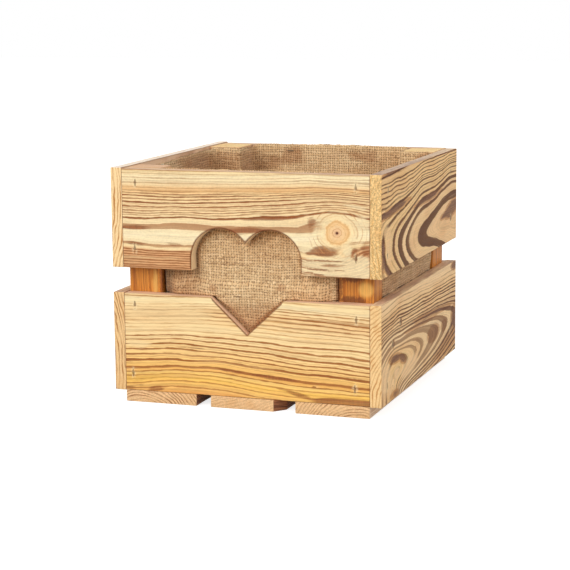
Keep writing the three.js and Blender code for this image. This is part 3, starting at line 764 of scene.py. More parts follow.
def face_material(name, table, seed, tint):
    """The wide face of a flamed pine board: ring bands, fibres, marks, knots and burnt edges."""
    shade = Shade(name)
    spread = table["spread"]
    plain = spread > PLAIN_SPREAD
    u, v, w = shade.attribute("board")
    level, fine, nick = shade.attribute("grain")
    dark, pale, edge = shade.attribute("mark")
    slow = shade.noise(u * 0.014, v * 0.05, seed + w * 0.05, 1.0)
    quick = shade.noise(u * 0.05, v * 0.22, seed + 3.3, 2.0)
    jagged = shade.noise(u * 0.10, v * 0.75, seed + 2.2, 2.0)
    ring = level + (slow - 0.5) * (1.1 * spread) + (quick - 0.5) * (1.0 * spread)
    ring = ring + (jagged - 0.5) * (1.5 * spread) + w * (0.25 * spread)
    fibre = shade.noise(u * 0.035, v * 2.2, seed + 5.7, 4.0, 0.65)
    colour = shade.bands(ring, ring_stops(table))
    life = shade.noise(u * 0.012, ring * (0.25 / spread), seed + 17.0, 2.0)
    colour = shade.mix(shade.step(life, 0.52, 0.74) * (0.4 if plain else 0.22), colour, table["light"])
    ragged = (shade.noise(u * 0.045, ring * (0.8 / spread), seed + 31.7, 3.0) - 0.5) * 1.1
    covered = shade.step(pale + ragged, 0.3, 0.85)
    colour = shade.mix(covered * 0.74, colour, table["cream"])
    burn = shade.step(dark + ragged * shade.step(dark, 0.15, 0.4), 0.3, 0.75)
    ticks = shade.noise(u * 1.1, v * 0.05, seed + 51.0, 1.0)
    charred = ((112, 58, 28), (170, 100, 54)) if plain else ((92, 62, 46), (150, 108, 82))
    burnt = shade.mix(shade.step(fibre, 0.3, 0.7), *charred)
    burnt = shade.scaled(burnt, shade.step(ticks, 0.3, 0.7, 0.84, 1.16))
    tinted = shade.step(dark, 0.3, 0.8) * 0.26 if plain else shade.step(dark, 0.0, 0.17) * 0.62
    colour = shade.mix(tinted, colour, (190, 152, 122), "MULTIPLY")
    colour = shade.mix(burn * (0.74 if plain else 0.86), colour, burnt)
    lines = shade.noise(u * 0.005, ring * (0.46 / spread), seed + 9.1, 1.0)
    line = shade.step(lines, 0.53, 0.61)
    depth = shade.step(fine, 0.0, 0.9, 0.1, 0.5)
    colour = shade.mix(line * depth, colour, (150, 92, 46))
    streak = shade.noise(u * 0.010, ring * (1.15 / spread), seed + 61.0, 2.0, 0.6)
    colour = shade.scaled(colour, shade.step(streak, 0.3, 0.7, *((0.93, 1.05) if plain else (0.9, 1.13))))
    colour = shade.scaled(colour, shade.step(fibre, 0.22, 0.78, *((0.89, 1.07) if plain else (0.87, 1.12))))
    pore = shade.step(shade.noise(u * 0.11, v * 3.4, seed + 21.3, 2.0), 0.6, 0.74)
    colour = shade.mix(pore * 0.16, colour, (120, 72, 38))
    cloud = shade.noise(u * 0.02, v * 0.045, seed + 13.9, 2.0)
    cloud = shade.step(cloud, 0.45, 0.7) * (0.07 if plain else 0.17)
    colour = shade.mix(cloud, colour, (206, 146, 88), "MULTIPLY")
    for knot in table.get("knots", ()):
        colour = add_knot(shade, colour, u, v, seed, *knot)
    patch = shade.step(shade.noise(u * 0.5, v * 0.5, seed + 71.0, 1.0), 0.42, 0.56)
    halo = shade.step(nick, 0.5, 3.2, 1.0, 0.0) * patch
    colour = shade.mix(halo * 0.55, colour, (250, 226, 178))
    torn = shade.step(nick + (fibre - 0.5) * 0.8, 0.1, 0.7, 1.0, 0.0)
    colour = shade.mix(torn * 0.7, colour, (104, 70, 40))
    singe = shade.step(edge + (fibre - 0.5) * 0.8, 0.5, 1.8, 1.0, 0.0)
    colour = shade.mix(singe * 0.85, colour, (112, 56, 16))
    colour = shade.mix(1.0, colour, (*tint, 1.0), "MULTIPLY")
    height = line * depth * 0.5 + fibre * 0.5 - pore * 0.4 - torn * 0.8
    rough = shade.step(fibre, 0.2, 0.8, 0.52, 0.72)
    return shade.finish(colour, rough, height, 0.00025, 0.28 if plain else 0.1)


def add_knot(shade, colour, u, v, seed, ku, kv, radius, squash):
    """A sound knot: a pith dot, faint close rings and a pale halo with thin arcs."""
    du, dv = (u - ku) / squash, v - kv
    wave = (shade.noise(u * 0.10, v * 0.10, seed + 41.0, 3.0) - 0.5) * (0.3 * radius)
    distance = shade.math("SQRT", du * du + dv * dv)
    share = (distance + wave * shade.step(distance, 1.0, 6.0)) / radius
    grit = shade.noise(u * 0.5, v * 0.5, seed + 44.0, 3.0, 0.6)
    rings = shade.ramp(share + (grit - 0.5) * 0.14 * shade.step(share, 0.1, 0.3), [
        (0.0, (84, 48, 40)), (0.05, (110, 64, 44)), (0.085, (226, 176, 132)),
        (0.17, (242, 202, 154)), (0.2, (216, 162, 112)), (0.24, (244, 204, 152)),
        (0.36, (244, 204, 150)), (0.39, (232, 184, 124)), (0.43, (246, 206, 150)),
        (0.47, (240, 194, 134)), (0.53, (228, 178, 118)), (0.61, (250, 218, 162)),
        (0.74, (252, 228, 178)), (0.8, (236, 198, 142)), (0.83, (250, 224, 174)),
        (0.95, (206, 156, 100)), (0.98, (246, 214, 160)), (1.0, (250, 226, 178)),
    ])
    fade = shade.step(share, 0.7, 1.04, 1.0, 0.0)
    edge = shade.step(shade.noise(u * 0.06, v * 0.06, seed + 47.0, 2.0), 0.35, 0.6, 0.4, 1.0)
    cover = shade.math("MINIMUM", fade * edge + shade.step(share, 0.5, 0.64, 1.0, 0.0), 1.0)
    colour = shade.mix(cover, colour, rings)
    arcs = shade.step(shade.math("SINE", share * 29.0), 0.62, 0.98) * shade.step(share, 0.7, 0.8)
    arcs = arcs * shade.step(share, 1.25, 1.5, 1.0, 0.0) * shade.step(edge, 0.45, 0.9)
    colour = shade.mix(arcs * 0.5, colour, (204, 148, 92))
    return shade.scaled(colour, shade.step(grit, 0.3, 0.7, 0.95, 1.04))


def edge_material(name, seed, base, streak, rim, rim_at, burnt=0.0):
    """A sawn edge: long streaks and grey wear, palest on the rim, and perhaps a burnt arris."""
    shade = Shade(name)
    u, v, w = shade.attribute("board")
    streaks = shade.noise(u * 0.02, w * 0.8 + v * 0.1, seed, 3.0, 0.6)
    fibre = shade.noise(u * 0.08, w * 3.4 + v * 1.7, seed + 4.4, 3.0, 0.6)
    worn = shade.noise(u * 0.03, w * 0.15, seed + 8.8, 3.0)
    top = shade.step(shade.math("ABSOLUTE", v - rim_at), 0.5, 1.6, 1.0, 0.0)
    colour = shade.mix(shade.step(streaks, 0.42, 0.66), base, streak)
    colour = shade.mix(top * shade.step(worn, 0.36, 0.62, 0.35, 0.95), colour, rim)
    brown = shade.step(shade.noise(u * 0.02, w * 0.3, seed + 12.8, 2.0), 0.56, 0.72)
    colour = shade.mix(brown * 0.5, colour, (150, 104, 78))
    if burnt:
        arris = shade.step(shade.attribute("mark")[2] + (fibre - 0.5), 1.2, 2.4, burnt, 0.0)
        colour = shade.mix(arris, colour, (128, 84, 58))
    colour = shade.scaled(colour, shade.step(fibre, 0.2, 0.8, 0.88, 1.06))
    height = fibre * 0.6 + streaks * 0.4
    return shade.finish(colour, shade.step(fibre, 0.2, 0.8, 0.6, 0.8), height, 0.0002, 0.25)


def end_material(name, seed, base, ring, centre, spacing, contrast, mottle=0.3):
    """Sawn end grain: growth rings about a far-off pith, with the mottle of a coarse saw."""
    shade = Shade(name)
    u, v, w = shade.attribute("board")
    dv, dw = v - centre[0], w - centre[1]
    sway = (shade.noise(v * 0.06, w * 0.12, seed, 2.0) - 0.5) * (1.6 * spacing)
    away = shade.math("SQRT", dv * dv + dw * dw) + sway
    period = shade.noise(away * (0.35 / spacing), seed, 1.5, 1.0) * 7.0
    wave = shade.math("SINE", away * (TURN / spacing) + period)
    rings = shade.step(wave, 0.0, 0.95)
    grit = shade.noise(w * 1.0, v * 0.8, seed + 6.0 + u * 0.3, 4.0, 0.75)
    patch = shade.noise(w * 0.1, v * 0.05, seed + 12.0, 2.0)
    strength = shade.step(shade.noise(v * 0.05, w * 0.1, seed + 16.0, 2.0), 0.35, 0.65, 0.3, 1.0)
    colour = shade.mix(rings * strength * contrast, base, ring)
    colour = shade.scaled(colour, shade.step(grit, 0.3, 0.7, 1.0 - 0.3 * mottle, 1.0 + 0.14 * mottle))
    colour = shade.mix(shade.step(patch, 0.5, 0.75) * 0.3, colour, (214, 156, 92))
    height = grit * 0.8 - rings * 0.2
    return shade.finish(colour, shade.step(grit, 0.3, 0.7, 0.68, 0.86), height, 0.0003, 0.2)


def post_material(name, seed):
    """A flamed post: saturated golden pine with charred streaks along it, and painted shade in char colours at the
    top of the gap under the upper board.
    """
    shade = Shade(name)
    u, v, w = shade.attribute("board")
    dark, pale, _ = shade.attribute("mark")
    sway = (shade.noise(u * 0.02, v * 0.06, seed + w * 0.06, 2.0) - 0.5) * 4.0
    ring = v + w * 0.8 + sway
    broad = shade.noise(u * 0.004, ring * 0.22, seed + 1.0, 2.0, 0.6)
    lines = shade.noise(u * 0.012, ring * 0.8, seed + 2.0, 2.0, 0.6)
    fibre = shade.noise(u * 0.06, ring * 2.6, seed + 5.0, 4.0, 0.65)
    flake = shade.noise(u * 0.3, ring * 1.3, seed + 8.0, 4.0, 0.7)
    colour = shade.mix(shade.step(broad, 0.35, 0.68), (224, 148, 60), (188, 108, 34))
    colour = shade.mix(shade.step(lines, 0.48, 0.6) * 0.66, colour, (150, 84, 30))
    colour = shade.mix(shade.step(pale, 0.2, 0.9) * 0.7, colour, (250, 196, 104))
    # Dark marks: charred streaks, and painted shade just under the upper board
    burn = shade.step(dark + (flake - 0.5) * 1.5, 0.35, 0.75)
    colour = shade.mix(burn * 0.85, colour, shade.mix(flake, (66, 34, 18), (140, 76, 32)))
    colour = shade.mix(shade.step(u, 180, 194) * 0.85, colour, (226, 184, 140))
    colour = shade.scaled(colour, shade.step(fibre, 0.25, 0.75, 0.72, 1.18))
    height = lines * 0.4 + fibre * 0.6
    return shade.finish(colour, shade.step(fibre, 0.2, 0.8, 0.45, 0.68), height, 0.0004, 0.35)


def nick_material():
    """Torn wood in a staple's slot."""
    shade = Shade("pine_torn")
    u, v, w = shade.attribute("board")
    grit = shade.noise(u * 1.7, v * 1.7, w * 1.7, 3.0)
    colour = shade.mix(shade.step(grit, 0.3, 0.7), (52, 32, 20), (120, 80, 48))
    return shade.finish(colour, 0.9 + grit * 0.05, grit, 0.0003, 0.1)


# The middle of each side's outer face, and its axes: along it, up and inwards
SIDES = {
    "front": ((0, -125, 0), ((1, 0, 0), (0, 0, 1), (0, 1, 0))),
    "back": ((0, 125, 0), ((-1, 0, 0), (0, 0, 1), (0, -1, 0))),
    "right": ((120, 0, 0), ((0, 1, 0), (0, 0, 1), (-1, 0, 0))),
    "left": ((-120, 0, 0), ((0, -1, 0), (0, 0, 1), (1, 0, 0))),
}
# Each board's wood, how that is mirrored and shifted, its outline and its tint
BOARDS = {
    "front_upper": ("front_upper", (1, 1, 0), outline_with_lobes, (1, 1, 1)),
    "front_lower": ("front_lower", (1, 1, 0), outline_with_point, (1, 1, 1)),
    "back_upper": ("front_lower", (-1, 1, -107), rectangle, (0.97, 0.95, 0.93)),
    "back_lower": ("side_upper", (1, -1, 212), rectangle, (1.0, 0.98, 0.92)),
    "right_upper": ("side_upper", (1, 1, 0), sloped, (1, 1, 1)),
    "right_lower": ("side_lower", (1, 1, 0), rectangle, (1, 1, 1)),
    "left_upper": ("side_lower", (-1, -1, 212.6), rectangle, (1, 1, 1)),
    "left_lower": ("side_upper", (-1, 1, 107.4), rectangle, (1, 1, 1)),
}
# End grain: wood and ring colours, pith, ring spacing, contrast and mottle
ENDS = {
    "left_upper": ((254, 220, 166), (188, 122, 58), (33, -195), 3.2, 0.95, 0.4),
    "left_lower": ((242, 202, 146), (174, 112, 56), (132, -195), 2.9, 1.0, 0.5),
    "right_upper": ((250, 210, 146), (212, 156, 84), (150, -90), 4.0, 0.7, 1.7),
    "right_lower": ((248, 210, 152), (198, 138, 78), (10, -55), 2.9, 0.9, 0.5),
}
OTHER_END = ((244, 200, 136), (198, 138, 74), (20, -60), 3.2, 0.8, 0.4)
# Sawn edges: wood and streak colours, and the rim's
SAWN = {
    "front_lower": ((252, 216, 184), (228, 186, 158), (226, 188, 154)),
    "left_upper": ((254, 236, 206), (238, 210, 176), (244, 230, 218)),
    "right_upper": ((228, 202, 170), (192, 160, 132), (180, 152, 134)),
}
OTHER_SAWN = ((254, 228, 184), (226, 184, 138), (200, 160, 132))
INNER_SAWN = ((240, 206, 172), (214, 170, 134), (234, 200, 170))
# Half the length and the thickness of the boards; the front and back ones leave a thin joint
SIDE_SPAN, SIDE_THICKNESS = 125, 10
FRONT_SPAN, FRONT_THICKNESS = 109.88, 12.5
POINT_SPLAY = 2.9
SEEN_PITCH, HIDDEN_PITCH = 1.7, 2.4


def make_boards(torn):
    fields = {wood: grain_field(table["guides"], table["along"]) for wood, table in WOODS.items()}
    for index, (name, (wood, flip, outline, tint)) in enumerate(BOARDS.items()):
        low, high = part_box("board_" + name)
        at_side = name.startswith(("left", "right"))
        span, thickness = (SIDE_SPAN, SIDE_THICKNESS) if at_side else (FRONT_SPAN, FRONT_THICKNESS)
        seed = 11.0 * index + 2.0
        plank = Plank("board_" + name, *SIDES[name.split("_")[0]],
                      outline(-span, span, low.z / MM, high.z / MM), thickness,
                      pitch=SEEN_PITCH if name.startswith(("front", "right")) else HIDDEN_PITCH, seed=index,
                      splay=POINT_SPLAY if name == "front_lower" else 0.0)
        for staple in sorted(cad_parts):
            if staple.startswith(f"staple_{name}_"):
                plank.nick(staple)
        plank.build([
            face_material("pine_face_" + name, WOODS[wood], seed, tint),
            edge_material("pine_inner_" + name, seed + 5, *INNER_SAWN, 0, 0.6),
            end_material("pine_end_" + name, seed, *ENDS.get(name, OTHER_END)),
            edge_material("pine_edge_" + name, seed, *SAWN.get(name, OTHER_SAWN), flip[1] * high.z / MM + flip[2]),
            torn,
        ], fields[wood], WOODS[wood]["marks"], flip)


# Each post's marks and the colours of its top
# Dark marks near 116 to 119 along a post are painted shade under the upper board, in char colours.
# The front right post's mark near 97 makes it darker at the bottom of its gap.
POSTS = {
    "front_left": ({"dark": [(119, 4, 4, 14, 0, 0.7), (104, 2, 16, 1.4, 0, 0.5), (106, 14, 14, 2.2, 0, 0.6)],
                    "pale": [(102, 8.6, 14, 2.4, 0, 1.0)]}, (232, 192, 156), (196, 146, 104)),
    "front_right": ({"dark": [(117, -4, 5, 12, 0, 0.85), (97, -4, 3.4, 14, 0, 0.8), (106, -14, 12, 2.4, 0, 0.7)],
                     "pale": [(106, 8, 6, 6, 0, 1.0)]}, (218, 180, 148), (186, 138, 102)),
    "back_left": ({"dark": [(150, 0, 60, 6, 0, 0.5)]}, (248, 216, 158), (212, 160, 100)),
    "back_right": ({"dark": [(116, 10, 6, 8, 0, 0.7), (60, 0, 40, 6, 0, 0.5)]}, (248, 216, 158), (212, 160, 100)),
}


def make_posts(torn):
    for index, (name, (marks, base, ring)) in enumerate(POSTS.items()):
        low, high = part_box("post_" + name)
        front = name.startswith("front")
        origin = ((low.x + high.x) / 2 / MM, (low.y if front else high.y) / MM, 0)
        axes = ((0, 0, 1), (1, 0, 0), (0, 1 if front else -1, 0))
        half = (high.x - low.x) / 2 / MM
        plank = Plank("post_" + name, origin, axes, rectangle(low.z / MM, high.z / MM, -half, half),
                      (high.y - low.y) / MM, ease=0.9, pitch=3.4, corner=0.8, seed=20 + index)
        burnt = post_material("pine_post_" + name, 3.0 + 7 * index)
        end = end_material("pine_end_post_" + name, 5.0 + index, base, ring, (20, -30), 3.0, 0.7, 0.5)
        plank.build([burnt, burnt, end, burnt, torn], lambda u, v: v, marks)


# Each slat's pith, contrast of the end grain, and sawn edge: wood, streak and rim colours
DARK_EDGE = ((176, 116, 78), (84, 44, 30), (120, 76, 50))
SLATS = {
    "left": ((-18, -30), 0.95, DARK_EDGE),
    "middle": ((-60, 160), 0.36, DARK_EDGE),
    "right": ((23, -28), 0.9, ((244, 214, 184), (214, 170, 134), (238, 210, 186))),
}
SLAT_THICKNESS, NO_RIM = 10.2, 99
CUT_ALONG, CUT_ACROSS = 10, 8.5


def make_slats(torn):
    for index, (name, (pith, contrast, sawn)) in enumerate(SLATS.items()):
        low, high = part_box("slat_" + name)
        half = (high.x - low.x) / 2 / MM
        shape = rectangle(-SIDE_SPAN, SIDE_SPAN, -half, half)
        if name == "middle":
            shape[3:] = [(CUT_ALONG - SIDE_SPAN, half), (-SIDE_SPAN, half - CUT_ACROSS)]
        plank = Plank("slat_" + name, ((low.x + high.x) / 2 / MM, 0, 0), ((0, 1, 0), (1, 0, 0), (0, 0, 1)),
                      shape, SLAT_THICKNESS, pitch=3.0, seed=30 + index)
        for end in ("front", "back"):
            plank.nick(f"staple_slat_{name}_{end}")
        seed = 4.0 + 9 * index
        rng = random.Random(70 + index)
        rings, level = [], -55.0
        while level < 55:
            rings.append((level, rng.uniform(0.5, 1.1), rng.uniform(0.5, 0.95)))
            level += rng.uniform(2.4, 4.6)
        table = {"wood": [(-60, (232, 192, 144)), (0, (240, 202, 154)), (60, (230, 190, 142))],
                 "dark": (166, 116, 72), "rings": rings, "spread": 1.0, "light": (232, 192, 142),
                 "cream": (254, 236, 190)}
        face = face_material("pine_face_slat_" + name, table, seed, (0.97, 0.92, 0.88))
        end = end_material("pine_end_slat_" + name, seed, (238, 196, 146), (164, 108, 66), pith, 2.6, contrast, 0.8)
        edge = edge_material("pine_edge_slat_" + name, seed, *sawn, NO_RIM)
        plank.build([face, face, end, edge, torn], grain_field(straight_grain(50 + index), 0.5), {})


# Jute liner

INNER_X, INNER_Y = 110.0, 112.5
POST_X, FRONT_POST_Y, BACK_POST_Y = 79.5, -88.5, 77.5
FLOOR_Z, BOARD_TOP, CLOTH = 10.5, 95.0, 0.95
CLOSE_STEP, WIDE_STEP, CLOSE_REACH = 1.3, 2.3, 42
# Heights of the cloth's upper edge: on each side, and over each post by its signs of x and y
RIM_LEFT, RIM_RIGHT, RIM_FRONT, RIM_BACK = 197.6, 199.6, 202.3, 203.0
RIM_OVER = {(-1, 1): 201.0, (1, 1): 201.6, (-1, -1): 200.0, (1, -1): 198.2}


def liner_corners(d):
    """Corners of the way round the boards and posts, this far in from them, with their bend radii."""
    x, y, px = INNER_X - d, INNER_Y - d, POST_X - d
    fy, by = FRONT_POST_Y + d, BACK_POST_Y - d
    right = [((px, -y), 6), ((px, fy), 2.2), ((x, fy), 8), ((x, by), 9), ((px, by), 3), ((px, y), 12)]
    left = [((-px, y), 9), ((-px, by), 3), ((-x, by), 14), ((-x, fy), 10), ((-px, fy), 2.6), ((-px, -y), 8)]
    return right + left


def bent_path(corners):
    """Points along a closed way whose corners are rounded, closest where the heart shows the cloth."""
    dense = []
    count = len(corners)
    for i, (here, radius) in enumerate(corners):
        before, after = np.array(corners[i - 1][0]), np.array(corners[(i + 1) % count][0])
        here = np.array(here, float)
        a = (before - here) / np.linalg.norm(before - here)
        b = (after - here) / np.linalg.norm(after - here)
        for t in np.linspace(0, 1, 13):
            p, q = here + a * radius * (1 - t), here + b * radius * t
            dense.append(p * (1 - t) + q * t)
    dense = np.array(dense + dense[:1])
    length = np.concatenate([[0], np.cumsum(np.linalg.norm(np.diff(dense, axis=0), axis=1))])
    total = length[-1]
    fine = np.arange(0, total, 0.25)
    path = np.column_stack([np.interp(fine, length, dense[:, k]) for k in (0, 1)])
    near = (path[:, 1] < -INNER_Y + 4) & (np.abs(path[:, 0] - HEART_X) < CLOSE_REACH)
    weight = np.cumsum(np.where(near, 1 / CLOSE_STEP, 1 / WIDE_STEP))
    at = np.interp(np.arange(0, weight[-1], 1.0), weight, fine)
    points = np.column_stack([np.interp(at, length, dense[:, k]) for k in (0, 1)])
    return points, at, total


def fbm(x, y, z):
    return noise.fractal(Vector((x, y, z)), 1.0, 2.0, 3)


def smooth(x, low, high):
    t = min(1.0, max(0.0, (x - low) / (high - low)))
    return t * t * (3 - 2 * t)


def in_lobes(x, z):
    """How far inside the heart's lobes, or the gap between them and its point, a place on the front lies."""
    lobes = max(LOBE_RADIUS - math.hypot(x - HEART_X + LOBE_OFFSET, z - LOBE_Z),
                LOBE_RADIUS - math.hypot(x - HEART_X - LOBE_OFFSET, z - LOBE_Z))
    band = min(LOBE_OFFSET + LOBE_RADIUS - abs(x - HEART_X), LOBE_Z + 4 - z)
    return max(lobes, band) if z > LOBE_Z - 2 else band


def bulge(x, z):
    """How far the slack cloth pushes out through the heart and hangs over the lower board."""
    if z < BOARD_TOP + 0.5:
        deep = (POINT_DEPTH - BOARD_TOP + z - abs(x - POINT_X) * POINT_DEPTH / POINT_REACH) * 0.7
        near_top = smooth(z, BOARD_TOP - 16, BOARD_TOP)
        return (2.8 + 3.2 * near_top) * smooth(deep, 0.4 - 0.3 * near_top, 3.6 - 2.7 * near_top)
    slump = 6.0 * smooth(76 - abs(x), 0.0, 12.0) * smooth(z, 116.0, 102.0)
    return max(slump, 3.4 * smooth(in_lobes(x, z), 0.3, 4.6))


def rim_height(x, y):
    """Height of the cloth's upper edge: low over the posts, near the rim elsewhere."""
    if abs(x) > INNER_X - 4:
        base = RIM_LEFT + 2.4 * smooth(y, -60, 60) if x < 0 else RIM_RIGHT
    elif y > 0:
        base = RIM_BACK + 0.7 * smooth(abs(x), 60, 0)
    else:
        base = RIM_FRONT
    over = smooth(abs(x), POST_X - 6, POST_X + 1) * (
        smooth(y, BACK_POST_Y - 10, BACK_POST_Y + 2) + smooth(-y, -FRONT_POST_Y - 10, -FRONT_POST_Y + 2))
    high = RIM_OVER[-1 if x < 0 else 1, 1 if y > 0 else -1]
    height = base + (high - base) * min(1.0, over)
    beside = smooth(-x, POST_X - 6, POST_X - 2) * smooth(x, -POST_X - 8, -POST_X)
    return height - 1.6 * smooth(y, BACK_POST_Y + 3, INNER_Y - 8) * beside


def liner_offset(x, y, a, z):
    """How far the cloth stands in from the boards, in millimetres."""
    slack = 0.45 + 1.5 * max(0.0, fbm(a * 0.016, z * 0.02, 4.0) + 0.15)
    slack += 0.35 * fbm(a * 0.06, z * 0.05, 9.0)
    slack *= smooth(z, 205, 190) * 0.75 + 0.25
    out = 0.0
    if y < -INNER_Y + 4:
        out = bulge(x, z)
        slack += 0.6 * smooth(out, 1, 5) * fbm(x * 0.11 + z * 0.05, z * 0.13 - x * 0.04, 12.0)
    elif abs(x) > INNER_X - 4 or y > INNER_Y - 4:
        out = 0.9 * smooth(min(z - 96, 117 - z), 1.0, 8.0)
    for sx, sy, sz in LINER_STAPLES:
        near = math.sqrt((x - sx) ** 2 + (y - sy) ** 2 + (z - sz) ** 2)
        slack += (0.05 - slack) * smooth(near, 9, 3)
    return max(slack, 0.05) - out


LINER_STAPLES = []
for wall in ("front", "back", "left", "right"):
    low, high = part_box("staple_liner_" + wall)
    middle = (low + high) / 2 / MM
    LINER_STAPLES.append((
        math.copysign(INNER_X, middle.x) if wall in ("left", "right") else middle.x,
        math.copysign(INNER_Y, middle.y) if wall in ("front", "back") else middle.y,
        middle.z))


def soot(x, y, z):
    """Painted shade on the cloth: beside the posts, high at the back of the left wall and in the side gaps; also
    darker down the heart's point, in two spots above its corners and in patches at the back.
    """
    front = smooth(y, -INNER_Y + 16, -INNER_Y + 1) * smooth(z, 200, 185)
    left = max(0.9 * smooth(x, -POST_X + 16, -POST_X + 7), 0.22 * smooth(x, -28, -56)) * front * (x < 0)
    right = 0.5 * smooth(x, POST_X - 5, POST_X - 1) * front * (x > 0)
    corner = 0.24 * smooth(x, -50, -84) * smooth(y, -40, 40) * smooth(z, 203, 192)
    back = 0.3 * smooth(fbm(x * 0.02, z * 0.03 + y * 0.01, 31.0), 0.0, 0.4) * smooth(y, 0, 80)
    gap = 0.13 * smooth(abs(x), INNER_X - 6, INNER_X - 1) * smooth(z, 93, 97) * smooth(z, 120, 116)
    tip = 0.26 * smooth(z, 98, 72) * front
    spots = (smooth(math.hypot(x - sx, 1.2 * (z - sz)), 7, 1) for sx, sz in ((-31, 102), (30, 105)))
    dark_spots = 0.26 * max(spots) * front
    return min(1.0, max(left, right, corner, back, gap, tip, dark_spots))


def jute_material():
    """Plain-woven jute: warp over weft, uneven hairy threads and small dark holes."""
    shade = Shade("jute_weave")
    a, h = shade.uv()
    seed, pitch = 2.0, 2.32
    bend_a = (shade.noise(a * 0.03, h * 0.05, seed, 2.0) - 0.5) * 1.5
    bend_h = (shade.noise(a * 0.035, h * 0.03, seed + 5.0, 2.0) - 0.5) * 1.9
    jitter_a = (shade.noise(a * 0.5, h * 0.12, seed + 7.0, 2.0) - 0.5) * 0.6
    jitter_h = (shade.noise(a * 0.12, h * 0.5, seed + 8.0, 2.0) - 0.5) * 0.6
    x = a / pitch + bend_a + jitter_a
    y = h / pitch + bend_h + jitter_h
    column, row = shade.math("FLOOR", x), shade.math("FLOOR", y)
    odd_column = shade.math("PINGPONG", column, 1.0) * -2.0 + 1.0
    odd_row = shade.math("PINGPONG", row, 1.0) * -2.0 + 1.0
    thick_x = shade.noise(column * 7.31, h * 0.08, seed + 11.0, 2.0) * 0.5 + 0.66
    thick_y = shade.noise(a * 0.08, row * 7.77, seed + 12.0, 2.0) * 0.5 + 0.66
    off_x = (x - column - 0.5) * 2.0 / thick_x
    off_y = (y - row - 0.5) * 2.0 / thick_y
    round_x = shade.math("SQRT", shade.math("MAXIMUM", 1.0 - off_x * off_x, 0.0))
    round_y = shade.math("SQRT", shade.math("MAXIMUM", 1.0 - off_y * off_y, 0.0))
    over_x = odd_column * shade.math("SINE", y * math.pi) * 0.5 + 0.5
    over_y = 0.5 - odd_row * shade.math("SINE", x * math.pi) * 0.5
    warp = round_x * (over_x * 0.55 + 0.45)
    weft = round_y * (over_y * 0.55 + 0.45)
    height = shade.math("MAXIMUM", warp, weft)
    on_warp = shade.math("GREATER_THAN", warp, weft)
    tone_x = shade.noise(column * 3.17, h * 0.05, seed + 14.0, 1.0)
    tone_y = shade.noise(a * 0.05, row * 3.71, seed + 15.0, 1.0)
    tone = tone_x * on_warp + tone_y * (1.0 - on_warp)
    strand_x = shade.noise(x * 7.0, h * 0.9 + x * 3.0, seed + 16.0, 3.0, 0.7)
    strand_y = shade.noise(a * 0.9 + y * 3.0, y * 7.0, seed + 17.0, 3.0, 0.7)
    strand = strand_x * on_warp + strand_y * (1.0 - on_warp)
    thread = shade.mix(shade.step(tone, 0.3, 0.7), (212, 174, 128), (240, 208, 162))
    thread = shade.scaled(thread, shade.step(strand, 0.25, 0.75, 0.8, 1.2))
    straw = shade.step(shade.noise(a * 0.9, h * 0.9, seed + 18.0, 2.0), 0.6, 0.7)
    thread = shade.mix(straw * 0.55, thread, (253, 234, 196))
    cloud = shade.noise(a * 0.012, h * 0.022, seed + 19.0, 3.0)
    thread = shade.mix(shade.step(cloud, 0.42, 0.7) * 0.4, thread, (228, 188, 150), "MULTIPLY")
    shadow = shade.step(height + (strand - 0.5) * 0.4, 0.08, 0.84)
    colour = shade.mix(shadow, (116, 78, 48), thread)
    open_row = shade.noise(a * 0.02, row * 0.9, seed + 21.0, 1.0)
    speck = shade.step(shade.noise(x * 1.1, y * 1.1, seed + 23.0, 1.0) + (open_row - 0.5) * 0.5, 0.56, 0.68)
    colour = shade.mix(speck * 0.5, colour, (122, 82, 50))
    # Painted shade from the cloth's attribute: first a warm darkening, then a plain one
    sooted, _, _ = shade.attribute("soot")
    colour = shade.mix(shade.step(sooted, 0.0, 0.3) * 0.36, colour, (206, 138, 80), "MULTIPLY")
    colour = shade.scaled(colour, 1.0 - sooted * 0.56)
    fine = height + strand * 0.2
    rough = shade.step(strand, 0.2, 0.8, 0.86, 0.98)
    return shade.finish(colour, rough, fine, 0.0006, 0.1, Sheen_Weight=0.15, Sheen_Roughness=0.5)


UPPER_ROWS, FIBRES, FIBRE_STEPS = 42, 1500, 3
UNDER_FOLD = 94.4


